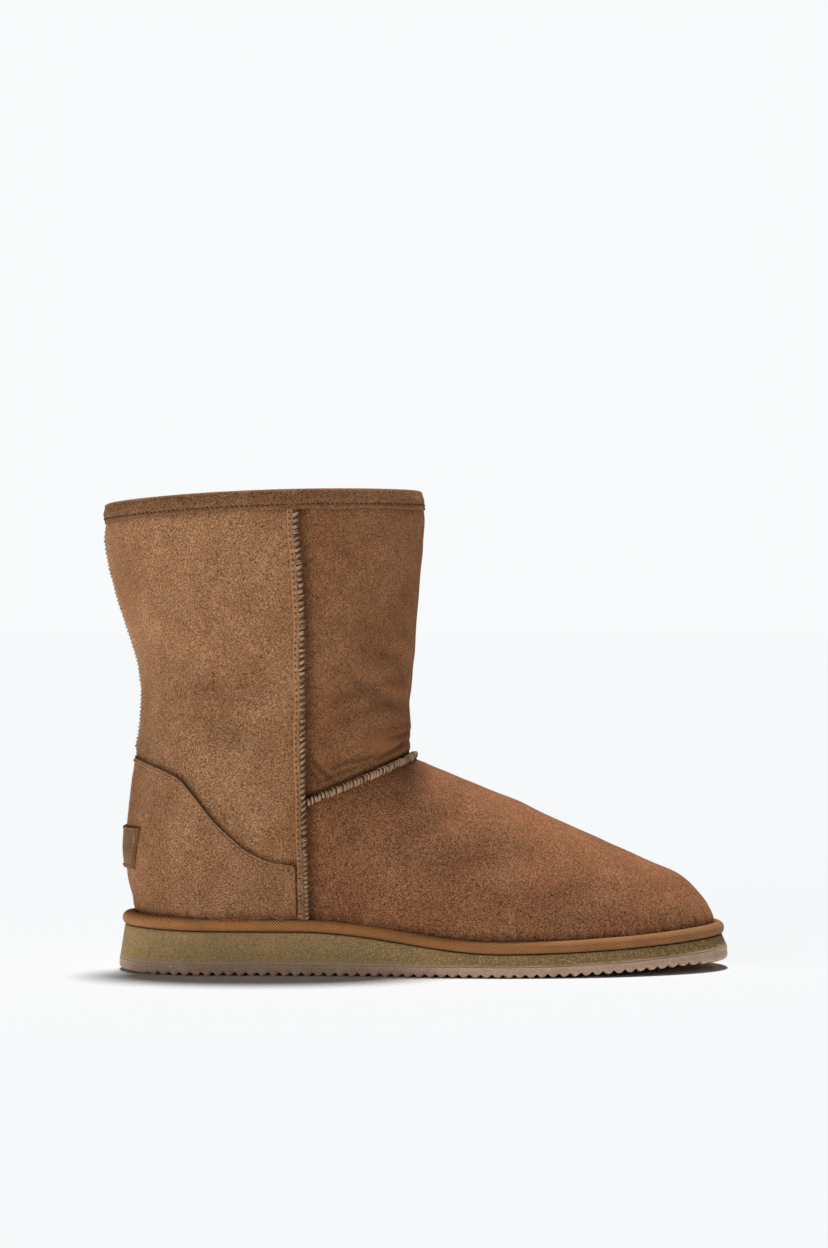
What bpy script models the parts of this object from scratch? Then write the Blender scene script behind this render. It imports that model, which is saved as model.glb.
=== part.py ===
"""Short pull-on sheepskin boot for the right foot, standing empty on its sole.

Metres, +Z up, toe towards +X, outer (lateral) side towards -Y. The origin is on the floor, under the
middle of the boot's box. Distances called "along" are measured from the back end of the sole.

The upper is a stack of closed sections. Each section runs from a point on the boot's back line to a
point on its front line, so the sections start on the sole, tilt up over the vamp, and lie level again
at the collar. Every other piece takes its place from the upper's surface or from the sole's outline.
"""

import math
from collections import namedtuple
from functools import lru_cache

import bmesh
import bpy
import numpy as np
from mathutils import Matrix, Vector

# Sole
SOLE_LENGTH = 0.290
BALL_WIDTH = 0.104
HEEL_WIDTH = 0.077
WAIST_WIDTH = 0.079
TOE_SWING = 0.007
HEEL_THICKNESS = 0.0200
FOREFOOT_THICKNESS = 0.0105
OUTSOLE_THICKNESS = 0.0048
TOE_SPRING = 0.0058
HEEL_END_LIFT = 0.0012
HEEL_END_RISE = 0.0018
SOLE_FLARE = 0.0026
RIB_PITCH = 0.0052
RIB_FLAT = 0.0024
GROOVE_FLAT = 0.0008
GROOVE_DEPTH = 0.0011

# Upper
WALL = 0.0030
BOOT_HEIGHT = 0.2275
COLLAR_DIP = 0.0062
COLLAR_DEPTH = 0.1490
COLLAR_WIDTH = 0.0900
COLLAR_OVERHANG = 0.0064
ANKLE_HEIGHT = 0.1340
ANKLE_WIDTH = 0.0850
ANKLE_HOLLOW = 0.0130
INSTEP_ALONG = 0.1395
INSTEP_HEIGHT = 0.1006
TOE_INSET = 0.0064
SIDE_INSET = 0.0074
SIDE_BULGE = 0.0034
SEAM_ALONG_SOLE = 0.0890
SEAM_ALONG_COLLAR = 0.0835

# Pieces on the upper
GAP = 0.0003
SEAT_GAP = 0.0005
WELT_HEIGHT = 0.0062
WELT_OVERHANG = 0.0007
INSOLE_THICKNESS = 0.0080
INSOLE_CLEARANCE = 0.0010
BINDING_THICKNESS = 0.0013
BINDING_DROP = 0.0097
BINDING_INNER_DROP = 0.0080
COUNTER_THICKNESS = 0.0013
COUNTER_BACK_HEIGHT = 0.1010
COUNTER_SIDE_HEIGHT = 0.0515
LABEL_THICKNESS = 0.0012
LABEL_WIDTH = 0.0425
LABEL_HEIGHT = 0.0200
LABEL_MIDDLE_HEIGHT = 0.0585
SIDE_SEAM_WIDTH = 0.0052
SIDE_SEAM_HEIGHT = 0.0028
INSTEP_SEAM_WIDTH = 0.0036
INSTEP_SEAM_HEIGHT = 0.0030
BACK_SEAM_WIDTH = 0.0040
BACK_SEAM_HEIGHT = 0.0026

# Mesh density
BACK_COLUMNS = 10
FRONT_COLUMNS = 15
COUNTER_ROWS = 11
LABEL_ROWS = 4
SIDE_SEAM_ROWS, BACK_SEAM_ROWS = 26, 18
MIDSOLE_SLICES = 44
CURVE_STEP = 1e-4
TABLE_STEP = 2e-3
SEARCH_STEPS = 30

LATERAL, MEDIAL = -1.0, 1.0

# Half-widths of the sole either side of its centre line, before its ends are rounded:
# along is a share of SOLE_LENGTH, and the sides are shares of the width named in the row.
Width = namedtuple("Width", "along lateral medial size")
SOLE_WIDTHS = (
    Width(0.00, 0.500, 0.500, HEEL_WIDTH),
    Width(0.16, 0.500, 0.500, HEEL_WIDTH),
    Width(0.40, 0.535, 0.465, WAIST_WIDTH),
    Width(0.52, 0.470, 0.405, BALL_WIDTH),
    Width(0.65, 0.515, 0.470, BALL_WIDTH),
    Width(0.74, 0.505, 0.485, BALL_WIDTH),
    Width(1.00, 0.430, 0.485, BALL_WIDTH),
)
HEEL_ROUND, TOE_ROUND = 0.150, 0.310  # shares of SOLE_LENGTH that the rounded ends take
HEEL_POWER, TOE_POWER = 2.15, 2.35  # 2 rounds an end to half an ellipse, more makes it squarer
SWING_START = 0.35  # where the centre line starts to bend inwards, as a share of SOLE_LENGTH

# Where the wedge of the sole starts and ends, and where the toe spring starts
WEDGE_START, WEDGE_END, SPRING_START = 0.30, 0.62, 0.62
SPRING_POWER = 1.8
HEEL_END = 0.20  # share of SOLE_LENGTH over which the heel's end lifts and rises

# Back line. Levels 0 to 1 go from the sole to the ankle, and 1 to 2 on to the collar.
# ahead is a share of ANKLE_HOLLOW up to the ankle, and of the way back to the collar above it.
BackLine = namedtuple("BackLine", "level ahead")
HEEL_LINE = (
    BackLine(0.000, 0.80),
    BackLine(0.103, 0.65),
    BackLine(0.208, 0.43),
    BackLine(0.332, 0.36),
    BackLine(0.490, 0.47),
    BackLine(0.700, 0.70),
    BackLine(0.800, 0.89),
    BackLine(0.900, 0.98),
    BackLine(1.000, 1.00),
)
CALF_LINE = (
    BackLine(1.000, 0.00),
    BackLine(1.151, 0.10),
    BackLine(1.323, 0.34),
    BackLine(1.538, 0.64),
    BackLine(1.753, 0.86),
    BackLine(1.861, 0.92),
    BackLine(2.000, 1.00),
)

# Front line. Levels 0 to 1 go from the toe over the vamp to the instep, and 1 to 2 up the shaft.
# ahead is a share of the vamp's length, and rise a share of the instep's height over the toe.
VampLine = namedtuple("VampLine", "level ahead rise")
VAMP_LINE = (
    VampLine(0.00, 1.000, 0.000),
    VampLine(0.08, 0.999, 0.075),
    VampLine(0.16, 0.981, 0.160),
    VampLine(0.24, 0.944, 0.245),
    VampLine(0.33, 0.886, 0.333),
    VampLine(0.45, 0.766, 0.426),
    VampLine(0.62, 0.555, 0.588),
    VampLine(0.80, 0.298, 0.785),
    VampLine(1.00, 0.000, 1.000),
)
# ahead is a share of the collar front's lead over the instep.
ShaftLine = namedtuple("ShaftLine", "level ahead")
SHAFT_LINE = (
    ShaftLine(1.00, 0.00),
    ShaftLine(1.05, -0.60),
    ShaftLine(1.12, -0.28),
    ShaftLine(1.20, -0.38),
    ShaftLine(1.32, 0.02),
    ShaftLine(1.44, 0.42),
    ShaftLine(1.57, 0.72),
    ShaftLine(1.69, 1.15),
    ShaftLine(1.81, 1.50),
    ShaftLine(1.90, 1.58),
    ShaftLine(2.00, 1.00),
)

# Sections from the sole to the collar. back and front are levels on the two lines, back_round the
# share of half the collar's depth that the rounded back takes, front_round the share of the section's
# length that the rounded front takes, leg how far it has turned from the foot's widths to the leg's,
# spread how far from the ankle's width to the collar's, bulge how much of SIDE_BULGE it has, follow
# how much of the sole's dips it follows, arch how early its height rises on the way from back to
# front, where 1 is a flat section, and rings how many rings of the mesh there are from it to the
# next one.
Section = namedtuple("Section", "back front back_round front_round leg spread bulge follow arch rings")
SECTIONS = (
    Section(0.000, 0.00, 0.550, 0.300, 0.00, 0.00, 0.00, 1.00, 1.0, 1),
    Section(0.028, 0.05, 0.570, 0.300, 0.06, 0.00, 0.45, 0.85, 1.0, 1),
    Section(0.056, 0.11, 0.595, 0.310, 0.12, 0.00, 0.80, 0.65, 1.0, 1),
    Section(0.086, 0.18, 0.620, 0.330, 0.20, 0.00, 1.00, 0.42, 1.0, 1),
    Section(0.116, 0.27, 0.645, 0.370, 0.30, 0.00, 1.05, 0.22, 1.0, 1),
    Section(0.145, 0.40, 0.670, 0.430, 0.42, 0.00, 1.05, 0.08, 1.0, 1),
    Section(0.172, 0.58, 0.695, 0.490, 0.55, 0.00, 1.05, 0.00, 1.0, 1),
    Section(0.197, 0.78, 0.720, 0.520, 0.66, 0.00, 1.00, 0.00, 1.0, 1),
    Section(0.222, 1.00, 0.740, 0.520, 0.76, 0.00, 1.00, 0.00, 1.0, 3),
    Section(0.360, 1.05, 0.775, 0.510, 0.86, 0.00, 1.00, 0.00, 1.0, 3),
    Section(0.560, 1.14, 0.820, 0.500, 0.94, 0.02, 0.80, 0.00, 1.0, 3),
    Section(0.800, 1.26, 0.860, 0.500, 1.00, 0.06, 0.00, 0.00, 1.0, 1),
    Section(1.030, 1.39, 0.900, 0.500, 1.00, 0.14, 0.00, 0.00, 1.0, 1),
    Section(1.270, 1.53, 0.935, 0.500, 1.00, 0.34, 0.00, 0.00, 1.0, 1),
    Section(1.500, 1.68, 0.965, 0.500, 1.00, 0.60, 0.00, 0.00, 1.1, 1),
    Section(1.750, 1.84, 0.985, 0.500, 1.00, 0.84, 0.00, 0.00, 1.6, 1),
    Section(2.000, 2.00, 1.000, 0.500, 1.00, 1.00, 0.00, 0.00, 2.4, 1),
)
INSTEP_SECTION = 8  # the section that the instep seam follows
TOP_SECTION = len(SECTIONS) - 1
SECTION_POWER = 2.05

# Top edge of the heel counter: turn is a share of the way from the back to the side seam, and rise a
# share of the height from the counter's side height to its back height.
CounterTop = namedtuple("CounterTop", "turn rise")
COUNTER_TOP = (
    CounterTop(0.00, 1.00),
    CounterTop(0.16, 0.97),
    CounterTop(0.31, 0.91),
    CounterTop(0.44, 0.81),
    CounterTop(0.50, 0.70),
    CounterTop(0.58, 0.50),
    CounterTop(0.65, 0.32),
    CounterTop(0.74, 0.14),
    CounterTop(0.84, 0.04),
    CounterTop(1.00, 0.00),
)

# Path of the side seams up the sections: lean is a share of the way from SEAM_ALONG_SOLE to
# SEAM_ALONG_COLLAR.
SeamLine = namedtuple("SeamLine", "number lean")
SEAM_LINE = (
    SeamLine(0.0, 0.00),
    SeamLine(7.0, 0.20),
    SeamLine(9.0, 0.40),
    SeamLine(13.0, 0.46),
    SeamLine(14.5, 0.72),
    SeamLine(15.3, 1.00),
    SeamLine(16.0, 1.00),
)

# Outline of a raised seam across its path: across in half-widths, lift in heights
SEAM_SHAPE = ((-1.0, 0.0), (0.0, 0.0), (1.0, 0.0), (1.0, 0.5), (0.5, 1.0), (-0.5, 1.0), (-1.0, 0.5))

Colour = namedtuple("Colour", "red green blue roughness")
COLOURS = {
    "suede": Colour(0.32, 0.165, 0.085, 0.95),
    "suede_trim": Colour(0.25, 0.130, 0.065, 0.95),
    "tape": Colour(0.42, 0.180, 0.060, 0.85),
    "foam": Colour(0.24, 0.190, 0.095, 0.75),
    "rubber": Colour(0.26, 0.190, 0.150, 0.55),
    "thread": Colour(0.50, 0.360, 0.250, 0.80),
    "fleece": Colour(0.62, 0.470, 0.320, 1.00),
    "label": Colour(0.18, 0.130, 0.070, 0.60),
}


class Curve:
    """A column of a table as a smooth curve through its rows that never overshoots them.

    The table's first column is the place of each row.
    """

    def __init__(self, table, column):
        self.places = np.array([row[0] for row in table], float)
        self.values = np.array([getattr(row, column) for row in table], float)
        self.steps = np.diff(self.places)
        slopes = np.diff(self.values) / self.steps
        self.tangents = np.concatenate([slopes[:1], np.zeros(len(slopes) - 1), slopes[-1:]])
        for i in range(1, len(slopes)):
            before, after = slopes[i - 1], slopes[i]
            if before * after > 0:
                near = 2 * self.steps[i] + self.steps[i - 1]
                far = self.steps[i] + 2 * self.steps[i - 1]
                self.tangents[i] = (near + far) / (near / before + far / after)

    def at(self, place):
        place = min(max(place, self.places[0]), self.places[-1])
        last = len(self.steps) - 1
        i = int(min(max(np.searchsorted(self.places, place, side="right") - 1, 0), last))
        u = (place - self.places[i]) / self.steps[i]
        rise = self.values[i + 1] - self.values[i]
        bend_in = self.tangents[i] * self.steps[i] - rise
        bend_out = rise - self.tangents[i + 1] * self.steps[i]
        return self.values[i] + u * rise + u * (1 - u) * ((1 - u) * bend_in + u * bend_out)


HalfWidth = namedtuple("HalfWidth", "along lateral medial")
HALF_WIDTHS = [HalfWidth(w.along, w.lateral * w.size, w.medial * w.size) for w in SOLE_WIDTHS]
SOLE_SIDES = {LATERAL: Curve(HALF_WIDTHS, "lateral"), MEDIAL: Curve(HALF_WIDTHS, "medial")}
HEEL_AHEAD = Curve(HEEL_LINE, "ahead")
CALF_AHEAD = Curve(CALF_LINE, "ahead")
VAMP_AHEAD = Curve(VAMP_LINE, "ahead")
VAMP_RISE = Curve(VAMP_LINE, "rise")
SHAFT_AHEAD = Curve(SHAFT_LINE, "ahead")
COUNTER_RISE = Curve(COUNTER_TOP, "rise")
SEAM_LEAN = Curve(SEAM_LINE, "lean")
Numbered = namedtuple("Numbered", ("number",) + Section._fields)
NUMBERED_SECTIONS = [Numbered(number, *row) for number, row in enumerate(SECTIONS)]
SECTION_CURVES = [Curve(NUMBERED_SECTIONS, column) for column in Section._fields]


def ease(u):
    """0 to 1 with a soft start and end."""
    u = np.clip(u, 0.0, 1.0)
    return u * u * (3 - 2 * u)


def rounded(distance, reach, power):
    """Share of the full half-width at a distance from a rounded end that takes reach."""
    left = np.clip(1 - distance / reach, 0.0, 1.0)
    return (1 - left**power) ** (1 / power)


def sole_width(along, side):
    """Half-width of the sole on one side, as if its ends were square."""
    return SOLE_SIDES[side].at(along / SOLE_LENGTH)


def centre_line(along):
    """How far the foot's centre line has bent towards the inner side."""
    start = SWING_START * SOLE_LENGTH
    return TOE_SWING * np.clip((along - start) / (SOLE_LENGTH - start), 0, 1) ** 1.5


def sole_bottom(along):
    """Height of the tread: flat under heel and ball, lifted at the toe and the heel's end."""
    share = along / SOLE_LENGTH
    spring = TOE_SPRING * np.clip((share - SPRING_START) / (1 - SPRING_START), 0, 1) ** SPRING_POWER
    lift = HEEL_END_LIFT * np.clip(1 - share / (HEEL_END / 2), 0, 1) ** 2
    return spring + lift


def sole_top(along):
    """Height of the face that the upper stands on."""
    share = along / SOLE_LENGTH
    wedge = ease((share - WEDGE_START) / (WEDGE_END - WEDGE_START))
    thickness = HEEL_THICKNESS + (FOREFOOT_THICKNESS - HEEL_THICKNESS) * wedge
    spring = TOE_SPRING * np.clip((share - SPRING_START) / (1 - SPRING_START), 0, 1) ** SPRING_POWER
    return thickness + spring + HEEL_END_RISE * np.clip(1 - share / HEEL_END, 0, 1) ** 2


def spread_turn(turn, back, seam, front):
    """Place along a loop at a turn: 0 is the back, 0.5 the side seam and 1 the front.

    The columns crowd towards both ends, where the loop turns.
    """
    left = min(turn, 1 - turn) * 2
    crowded = left * left * (2 - left)
    if turn <= 0.5:
        return back + (seam - back) * crowded
    return front - (front - seam) * crowded


def sole_edge(along, side):
    """Point of the sole's bottom outline, seen from above."""
    half = sole_width(along, side)
    half = half * rounded(along, HEEL_ROUND * SOLE_LENGTH, HEEL_POWER)
    half = half * rounded(SOLE_LENGTH - along, TOE_ROUND * SOLE_LENGTH, TOE_POWER)
    return np.array([along, centre_line(along) + side * half])


def sole_edge_in(along, side, inset):
    """The same outline moved in from the edge by inset, square to it."""
    here = sole_edge(along, side)
    if along <= 0 or along >= SOLE_LENGTH:
        return here + np.array([inset if along <= 0 else -inset, 0.0])
    step = min(CURVE_STEP, along / 2, (SOLE_LENGTH - along) / 2)
    ahead = sole_edge(along + step, side) - sole_edge(along - step, side)
    ahead = ahead / np.linalg.norm(ahead)
    return here + inset * side * np.array([ahead[1], -ahead[0]])


@lru_cache(maxsize=None)
def back_point(level):
    """(along, height) on the boot's back line."""
    sole = sole_top(ANKLE_HOLLOW) + SEAT_GAP
    rim = BOOT_HEIGHT - COLLAR_DIP - GAP - BINDING_THICKNESS
    if level <= 1:
        return ANKLE_HOLLOW * HEEL_AHEAD.at(level), sole + (ANKLE_HEIGHT - sole) * level
    swing = CALF_AHEAD.at(level)
    along = ANKLE_HOLLOW + (-COLLAR_OVERHANG - ANKLE_HOLLOW) * swing
    return along, ANKLE_HEIGHT + (rim - ANKLE_HEIGHT) * (level - 1)


@lru_cache(maxsize=None)
def front_point(level):
    """(along, height) on the boot's front line."""
    toe = SOLE_LENGTH - TOE_INSET
    sole = sole_top(toe) + SEAT_GAP
    rim = BOOT_HEIGHT - GAP - BINDING_THICKNESS
    if level <= 1:
        along = INSTEP_ALONG + (toe - INSTEP_ALONG) * VAMP_AHEAD.at(level)
        return along, sole + (INSTEP_HEIGHT - sole) * VAMP_RISE.at(level)
    lead = COLLAR_DEPTH - COLLAR_OVERHANG - INSTEP_ALONG
    along = INSTEP_ALONG + lead * SHAFT_AHEAD.at(level)
    return along, INSTEP_HEIGHT + (rim - INSTEP_HEIGHT) * (level - 1)


@lru_cache(maxsize=None)
def section(number):
    """All columns of SECTIONS at a section number, which may lie between two rows."""
    return Section(*(curve.at(number) for curve in SECTION_CURVES))


def seam_along(number):
    """Where the side seam crosses a section."""
    return SEAM_ALONG_SOLE + (SEAM_ALONG_COLLAR - SEAM_ALONG_SOLE) * SEAM_LEAN.at(number)


def surface(turn, number):
    """Point of the upper's outer surface.

    turn goes once round: 0 at the back, 0.5 at the lateral seam, 1 at the front, 1.5 at the medial
    seam. number is the section number, from 0 at the sole to TOP_SECTION at the collar.
    """
    turn = turn % 2
    side = LATERAL if turn <= 1 else MEDIAL
    share = turn if turn <= 1 else 2 - turn
    row = section(number)
    (back, low), (front, high) = back_point(row.back), front_point(row.front)
    along = spread_turn(share, back, seam_along(number), front)
    length = front - back
    foot = sole_width(along, side) - SIDE_INSET + SIDE_BULGE * row.bulge
    leg = (ANKLE_WIDTH + (COLLAR_WIDTH - ANKLE_WIDTH) * row.spread) / 2
    half = foot * (1 - row.leg) + leg * row.leg
    half = half * rounded(along - back, row.back_round * COLLAR_DEPTH / 2, SECTION_POWER)
    power = TOE_POWER + (SECTION_POWER - TOE_POWER) * row.leg
    half = half * rounded(front - along, row.front_round * length, power)
    run = (along - back) / length
    chord = sole_top(back) + (sole_top(front) - sole_top(back)) * run
    rise = 1 - (1 - run) ** row.arch
    height = low + (high - low) * rise + row.follow * (sole_top(along) - chord)
    return np.array([along, centre_line(along) + side * half, height])


def turns():
    """Turns of the columns once round the boot, from the back by the lateral side."""
    rear = [0.5 * i / BACK_COLUMNS for i in range(BACK_COLUMNS)]
    fore = [0.5 + 0.5 * i / FRONT_COLUMNS for i in range(FRONT_COLUMNS + 1)]
    half = rear + fore
    return half + [2 - turn for turn in half[-2:0:-1]]


def ring_numbers():
    """Section numbers of the upper's rings."""
    numbers = []
    for number, row in enumerate(SECTIONS[:-1]):
        numbers += [number + i / row.rings for i in range(row.rings)]
    return numbers + [float(TOP_SECTION)]


TURNS = turns()
LOOP = TURNS + [2.0]
NUMBERS = ring_numbers()


@lru_cache(maxsize=None)
def corner(column, ring, lift):
    """Corner of the upper's mesh moved out from the surface by lift, or in if it is negative."""
    turn, number = TURNS[column % len(TURNS)], NUMBERS[ring]
    low, high = max(number - TABLE_STEP, 0.0), min(number + TABLE_STEP, float(TOP_SECTION))
    round_it = surface(turn + TABLE_STEP, number) - surface(turn - TABLE_STEP, number)
    up_it = surface(turn, high) - surface(turn, low)
    out = np.cross(round_it, up_it)
    return surface(turn, number) + lift * out / np.linalg.norm(out)


def skin(turn, number, lift=0.0):
    """Point over the upper's mesh at any turn and section number, moved out by lift."""
    turn = turn % 2
    number = min(max(number, 0.0), float(TOP_SECTION))
    i = min(int(np.searchsorted(LOOP, turn, side="right")) - 1, len(TURNS) - 1)
    j = min(int(np.searchsorted(NUMBERS, number, side="right")) - 1, len(NUMBERS) - 2)
    u = (turn - LOOP[i]) / (LOOP[i + 1] - LOOP[i])
    v = (number - NUMBERS[j]) / (NUMBERS[j + 1] - NUMBERS[j])
    low = corner(i, j, lift) * (1 - u) + corner(i + 1, j, lift) * u
    high = corner(i, j + 1, lift) * (1 - u) + corner(i + 1, j + 1, lift) * u
    return low * (1 - v) + high * v


def number_at(turn, height, lift=0.0):
    """Section number at which the upper's mesh, moved out by lift, reaches a height at a turn."""
    low, high = 0.0, float(TOP_SECTION)
    for _ in range(SEARCH_STEPS):
        middle = (low + high) / 2
        if skin(turn, middle, lift)[2] < height:
            low = middle
        else:
            high = middle
    return (low + high) / 2


def material(name):
    """A plain material in the piece's colour."""
    found = bpy.data.materials.get(name)
    if found:
        return found
    made = bpy.data.materials.new(name)
    made.use_nodes = True
    shader = made.node_tree.nodes["Principled BSDF"]
    colour = COLOURS[name]
    shader.inputs["Base Color"].default_value = (colour.red, colour.green, colour.blue, 1.0)
    shader.inputs["Roughness"].default_value = colour.roughness
    shader.inputs["Metallic"].default_value = 0.0
    return made


def add_solid(name, rows, colour, loop=False, ends=True):
    """One solid from a list of closed sections with as many points each, joined in order.

    loop joins the last section to the first. Otherwise ends says whether the first and the last
    section are filled. Sections that narrow to a line need no filling.
    """
    shape = bmesh.new()
    grid = [[shape.verts.new(point) for point in row] for row in rows]
    pairs = list(zip(grid, grid[1:])) + ([(grid[-1], grid[0])] if loop else [])
    for here, there in pairs:
        for i in range(len(here)):
            j = (i + 1) % len(here)
            shape.faces.new((here[i], here[j], there[j], there[i]))
    if ends and not loop:
        shape.faces.new(grid[0])
        shape.faces.new(grid[-1])
    bmesh.ops.remove_doubles(shape, verts=shape.verts, dist=1e-6)
    bmesh.ops.dissolve_degenerate(shape, edges=shape.edges, dist=1e-7)
    bmesh.ops.recalc_face_normals(shape, faces=shape.faces)
    if shape.calc_volume(signed=True) < 0:
        bmesh.ops.reverse_faces(shape, faces=shape.faces)
    mesh = bpy.data.meshes.new(name)
    shape.to_mesh(mesh)
    shape.free()
    mesh.shade_smooth()
    mesh.set_sharp_from_angle(angle=math.radians(40))
    mesh.materials.append(material(colour))
    made = bpy.data.objects.new(name, mesh)
    bpy.context.scene.collection.objects.link(made)
    return made


def make_upper():
    """Hollow wall from the sole to the collar, open above and below."""
    columns = []
    for column in range(len(TURNS)):
        outer = [corner(column, ring, 0.0) for ring in range(len(NUMBERS))]
        inner = [corner(column, ring, -WALL) for ring in reversed(range(len(NUMBERS)))]
        columns.append(outer + inner)
    add_solid("upper", columns, "suede", loop=True)


def rib_places():
    """(along, is it in a groove) for each edge of the tread's ribs, from heel to toe."""
    slope = (RIB_PITCH - RIB_FLAT - GROOVE_FLAT) / 2
    places = [(0.0, False), (RIB_FLAT * 0.08, False), (RIB_FLAT * 0.35, False)]
    start = 0.0
    while start + RIB_PITCH + RIB_FLAT < SOLE_LENGTH:
        groove = start + RIB_FLAT + slope
        places += [(start + RIB_FLAT, False), (groove, True), (groove + GROOVE_FLAT, True)]
        start += RIB_PITCH
        places.append((start, False))
    last = (SOLE_LENGTH - start) * 0.5
    places += [(start + last, False), (SOLE_LENGTH - RIB_FLAT * 0.08, False), (SOLE_LENGTH, False)]
    return places


def sole_slice(along, levels):
    """Closed slice across the sole: levels are (inset, height) from the bottom up."""
    lateral = [(*sole_edge_in(along, LATERAL, inset), height) for inset, height in levels]
    medial = [(*sole_edge_in(along, MEDIAL, inset), height) for inset, height in reversed(levels)]
    return lateral + medial


def make_outsole():
    """Thin rubber tread with ribs across its whole bottom."""
    slices = []
    for along, in_groove in rib_places():
        bottom = sole_bottom(along)
        levels = [
            (GAP if in_groove else 0.0, bottom + (GROOVE_DEPTH if in_groove else 0.0)),
            (SOLE_FLARE * 0.15, bottom + OUTSOLE_THICKNESS),
        ]
        slices.append(sole_slice(along, levels))
    add_solid("outsole", slices, "rubber", ends=False)


def make_midsole():
    """Foam wedge between tread and upper, thick under the heel."""
    slices = []
    for i in range(MIDSOLE_SLICES + 1):
        along = spread_turn(i / MIDSOLE_SLICES, 0.0, SOLE_LENGTH / 2, SOLE_LENGTH)
        low, high = sole_bottom(along) + OUTSOLE_THICKNESS + GAP, sole_top(along)
        levels = [
            (SOLE_FLARE * 0.30, low),
            (SOLE_FLARE * 0.62, (low + high) / 2),
            (SOLE_FLARE, high - GAP * 2),
            (SOLE_FLARE + GAP * 2, high),
        ]
        slices.append(sole_slice(along, levels))
    add_solid("midsole", slices, "foam", ends=False)


def make_welt():
    """Tape-covered roll on the sole's rim, all round the foot of the upper."""
    columns = []
    for turn in TURNS:
        side = LATERAL if turn <= 1 else MEDIAL
        along = spread_turn(min(turn, 2 - turn), 0.0, SEAM_ALONG_SOLE, SOLE_LENGTH)
        top = number_at(turn, skin(turn, 0.0)[2] + WELT_HEIGHT * 0.93, GAP)

        def outer(inset, height):
            edge = sole_edge_in(along, side, SOLE_FLARE + inset)
            return np.array([*edge, sole_top(along) + SEAT_GAP + height])

        columns.append(
            [
                skin(turn, 0.0, GAP),
                outer(GAP, 0.0),
                outer(-WELT_OVERHANG, WELT_HEIGHT * 0.22),
                outer(-WELT_OVERHANG * 1.4, WELT_HEIGHT * 0.50),
                outer(-WELT_OVERHANG * 0.6, WELT_HEIGHT * 0.80),
                outer(WELT_OVERHANG * 1.2, WELT_HEIGHT * 0.97),
                skin(turn, top, GAP),
                skin(turn, min(1.0, top * 0.9), GAP),
            ]
        )
    add_solid("welt", columns, "tape", loop=True)


def make_insole():
    """Fleece footbed lying on the midsole inside the upper."""
    slices = []
    levels = (0.0, INSOLE_THICKNESS / 2, INSOLE_THICKNESS)
    clear = -WALL - INSOLE_CLEARANCE
    for turn in [turn for turn in TURNS if turn <= 1]:
        points = []
        for around, heights in ((turn, levels), (2 - turn, levels[::-1])):
            foot = skin(around, 0.0)[2]
            for height in heights:
                wall = skin(around, number_at(around, foot + height, clear), clear)
                points.append(np.array([wall[0], wall[1], sole_top(wall[0]) + SEAT_GAP + height]))
        slices.append(points)
    add_solid("insole", slices, "fleece", ends=False)


def make_binding():
    """Suede strip folded over the collar, outside and in."""
    columns = []
    thick, clear = BINDING_THICKNESS, GAP
    for turn in TURNS:
        rim = skin(turn, TOP_SECTION)[2]
        low = number_at(turn, rim - BINDING_DROP)
        inner_low = number_at(turn, rim - BINDING_INNER_DROP)

        def over(lift, rise):
            return skin(turn, TOP_SECTION, lift) + np.array([0, 0, rise])

        columns.append(
            [
                skin(turn, low, clear),
                skin(turn, low, clear + thick),
                over(clear + thick, -clear),
                over(0.0, clear + thick),
                over(-WALL, clear + thick),
                over(-WALL - clear - thick, -clear),
                skin(turn, inner_low, -WALL - clear - thick),
                skin(turn, inner_low, -WALL - clear),
                over(-WALL - clear, clear),
                over(clear, clear),
            ]
        )
    add_solid("collar_binding", columns, "suede_trim", loop=True)


def turn_across(turn, number, distance):
    """Turn at a distance round the section from a turn, towards the front if it is positive."""
    step = TABLE_STEP * (1 if distance > 0 else -1)
    speed = np.linalg.norm(skin(turn + step, number) - skin(turn, number)) / abs(step)
    return turn + distance / speed


def number_across(turn, number, distance):
    """Section number at a distance up the surface from a section."""
    step = TABLE_STEP * (1 if distance > 0 else -1)
    speed = np.linalg.norm(skin(turn, number + step) - skin(turn, number)) / abs(step)
    return number + distance / speed


def above_welt(turn):
    """Height just above the welt."""
    return skin(turn, 0.0)[2] + WELT_HEIGHT + GAP * 3


def under_binding(turn):
    """Height just under the collar binding."""
    return skin(turn, TOP_SECTION)[2] - BINDING_DROP - GAP * 2


def make_upright_seam(name, turn, low, high, width, height, rows):
    """Raised seam up the upper at one turn, between two heights."""
    sections = []
    for i in range(rows + 1):
        number = number_at(turn, low + (high - low) * i / rows)
        points = []
        for across, lift in SEAM_SHAPE:
            beside = turn_across(turn, number, across * width / 2)
            points.append(skin(beside, number, SEAT_GAP + lift * height))
        sections.append(points)
    add_solid(name, sections, "thread")


def make_side_seams():
    """The two raised seams that join the front and rear panels."""
    for name, turn in (("side_seam_lateral", 0.5), ("side_seam_medial", 1.5)):
        low, high = above_welt(turn), under_binding(turn)
        make_upright_seam(name, turn, low, high, SIDE_SEAM_WIDTH, SIDE_SEAM_HEIGHT, SIDE_SEAM_ROWS)


def counter_top_height(turn):
    """Height of the counter's top edge at a turn."""
    share = min(turn % 2, 2 - turn % 2) / 0.5
    rise = COUNTER_RISE.at(share)
    return COUNTER_SIDE_HEIGHT + (COUNTER_BACK_HEIGHT - COUNTER_SIDE_HEIGHT) * rise


def make_back_seam():
    """Raised seam up the back of the shaft, above the counter."""
    low, high = counter_top_height(0.0) + GAP * 2, under_binding(0.0)
    make_upright_seam("back_seam", 0.0, low, high, BACK_SEAM_WIDTH, BACK_SEAM_HEIGHT, BACK_SEAM_ROWS)


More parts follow.
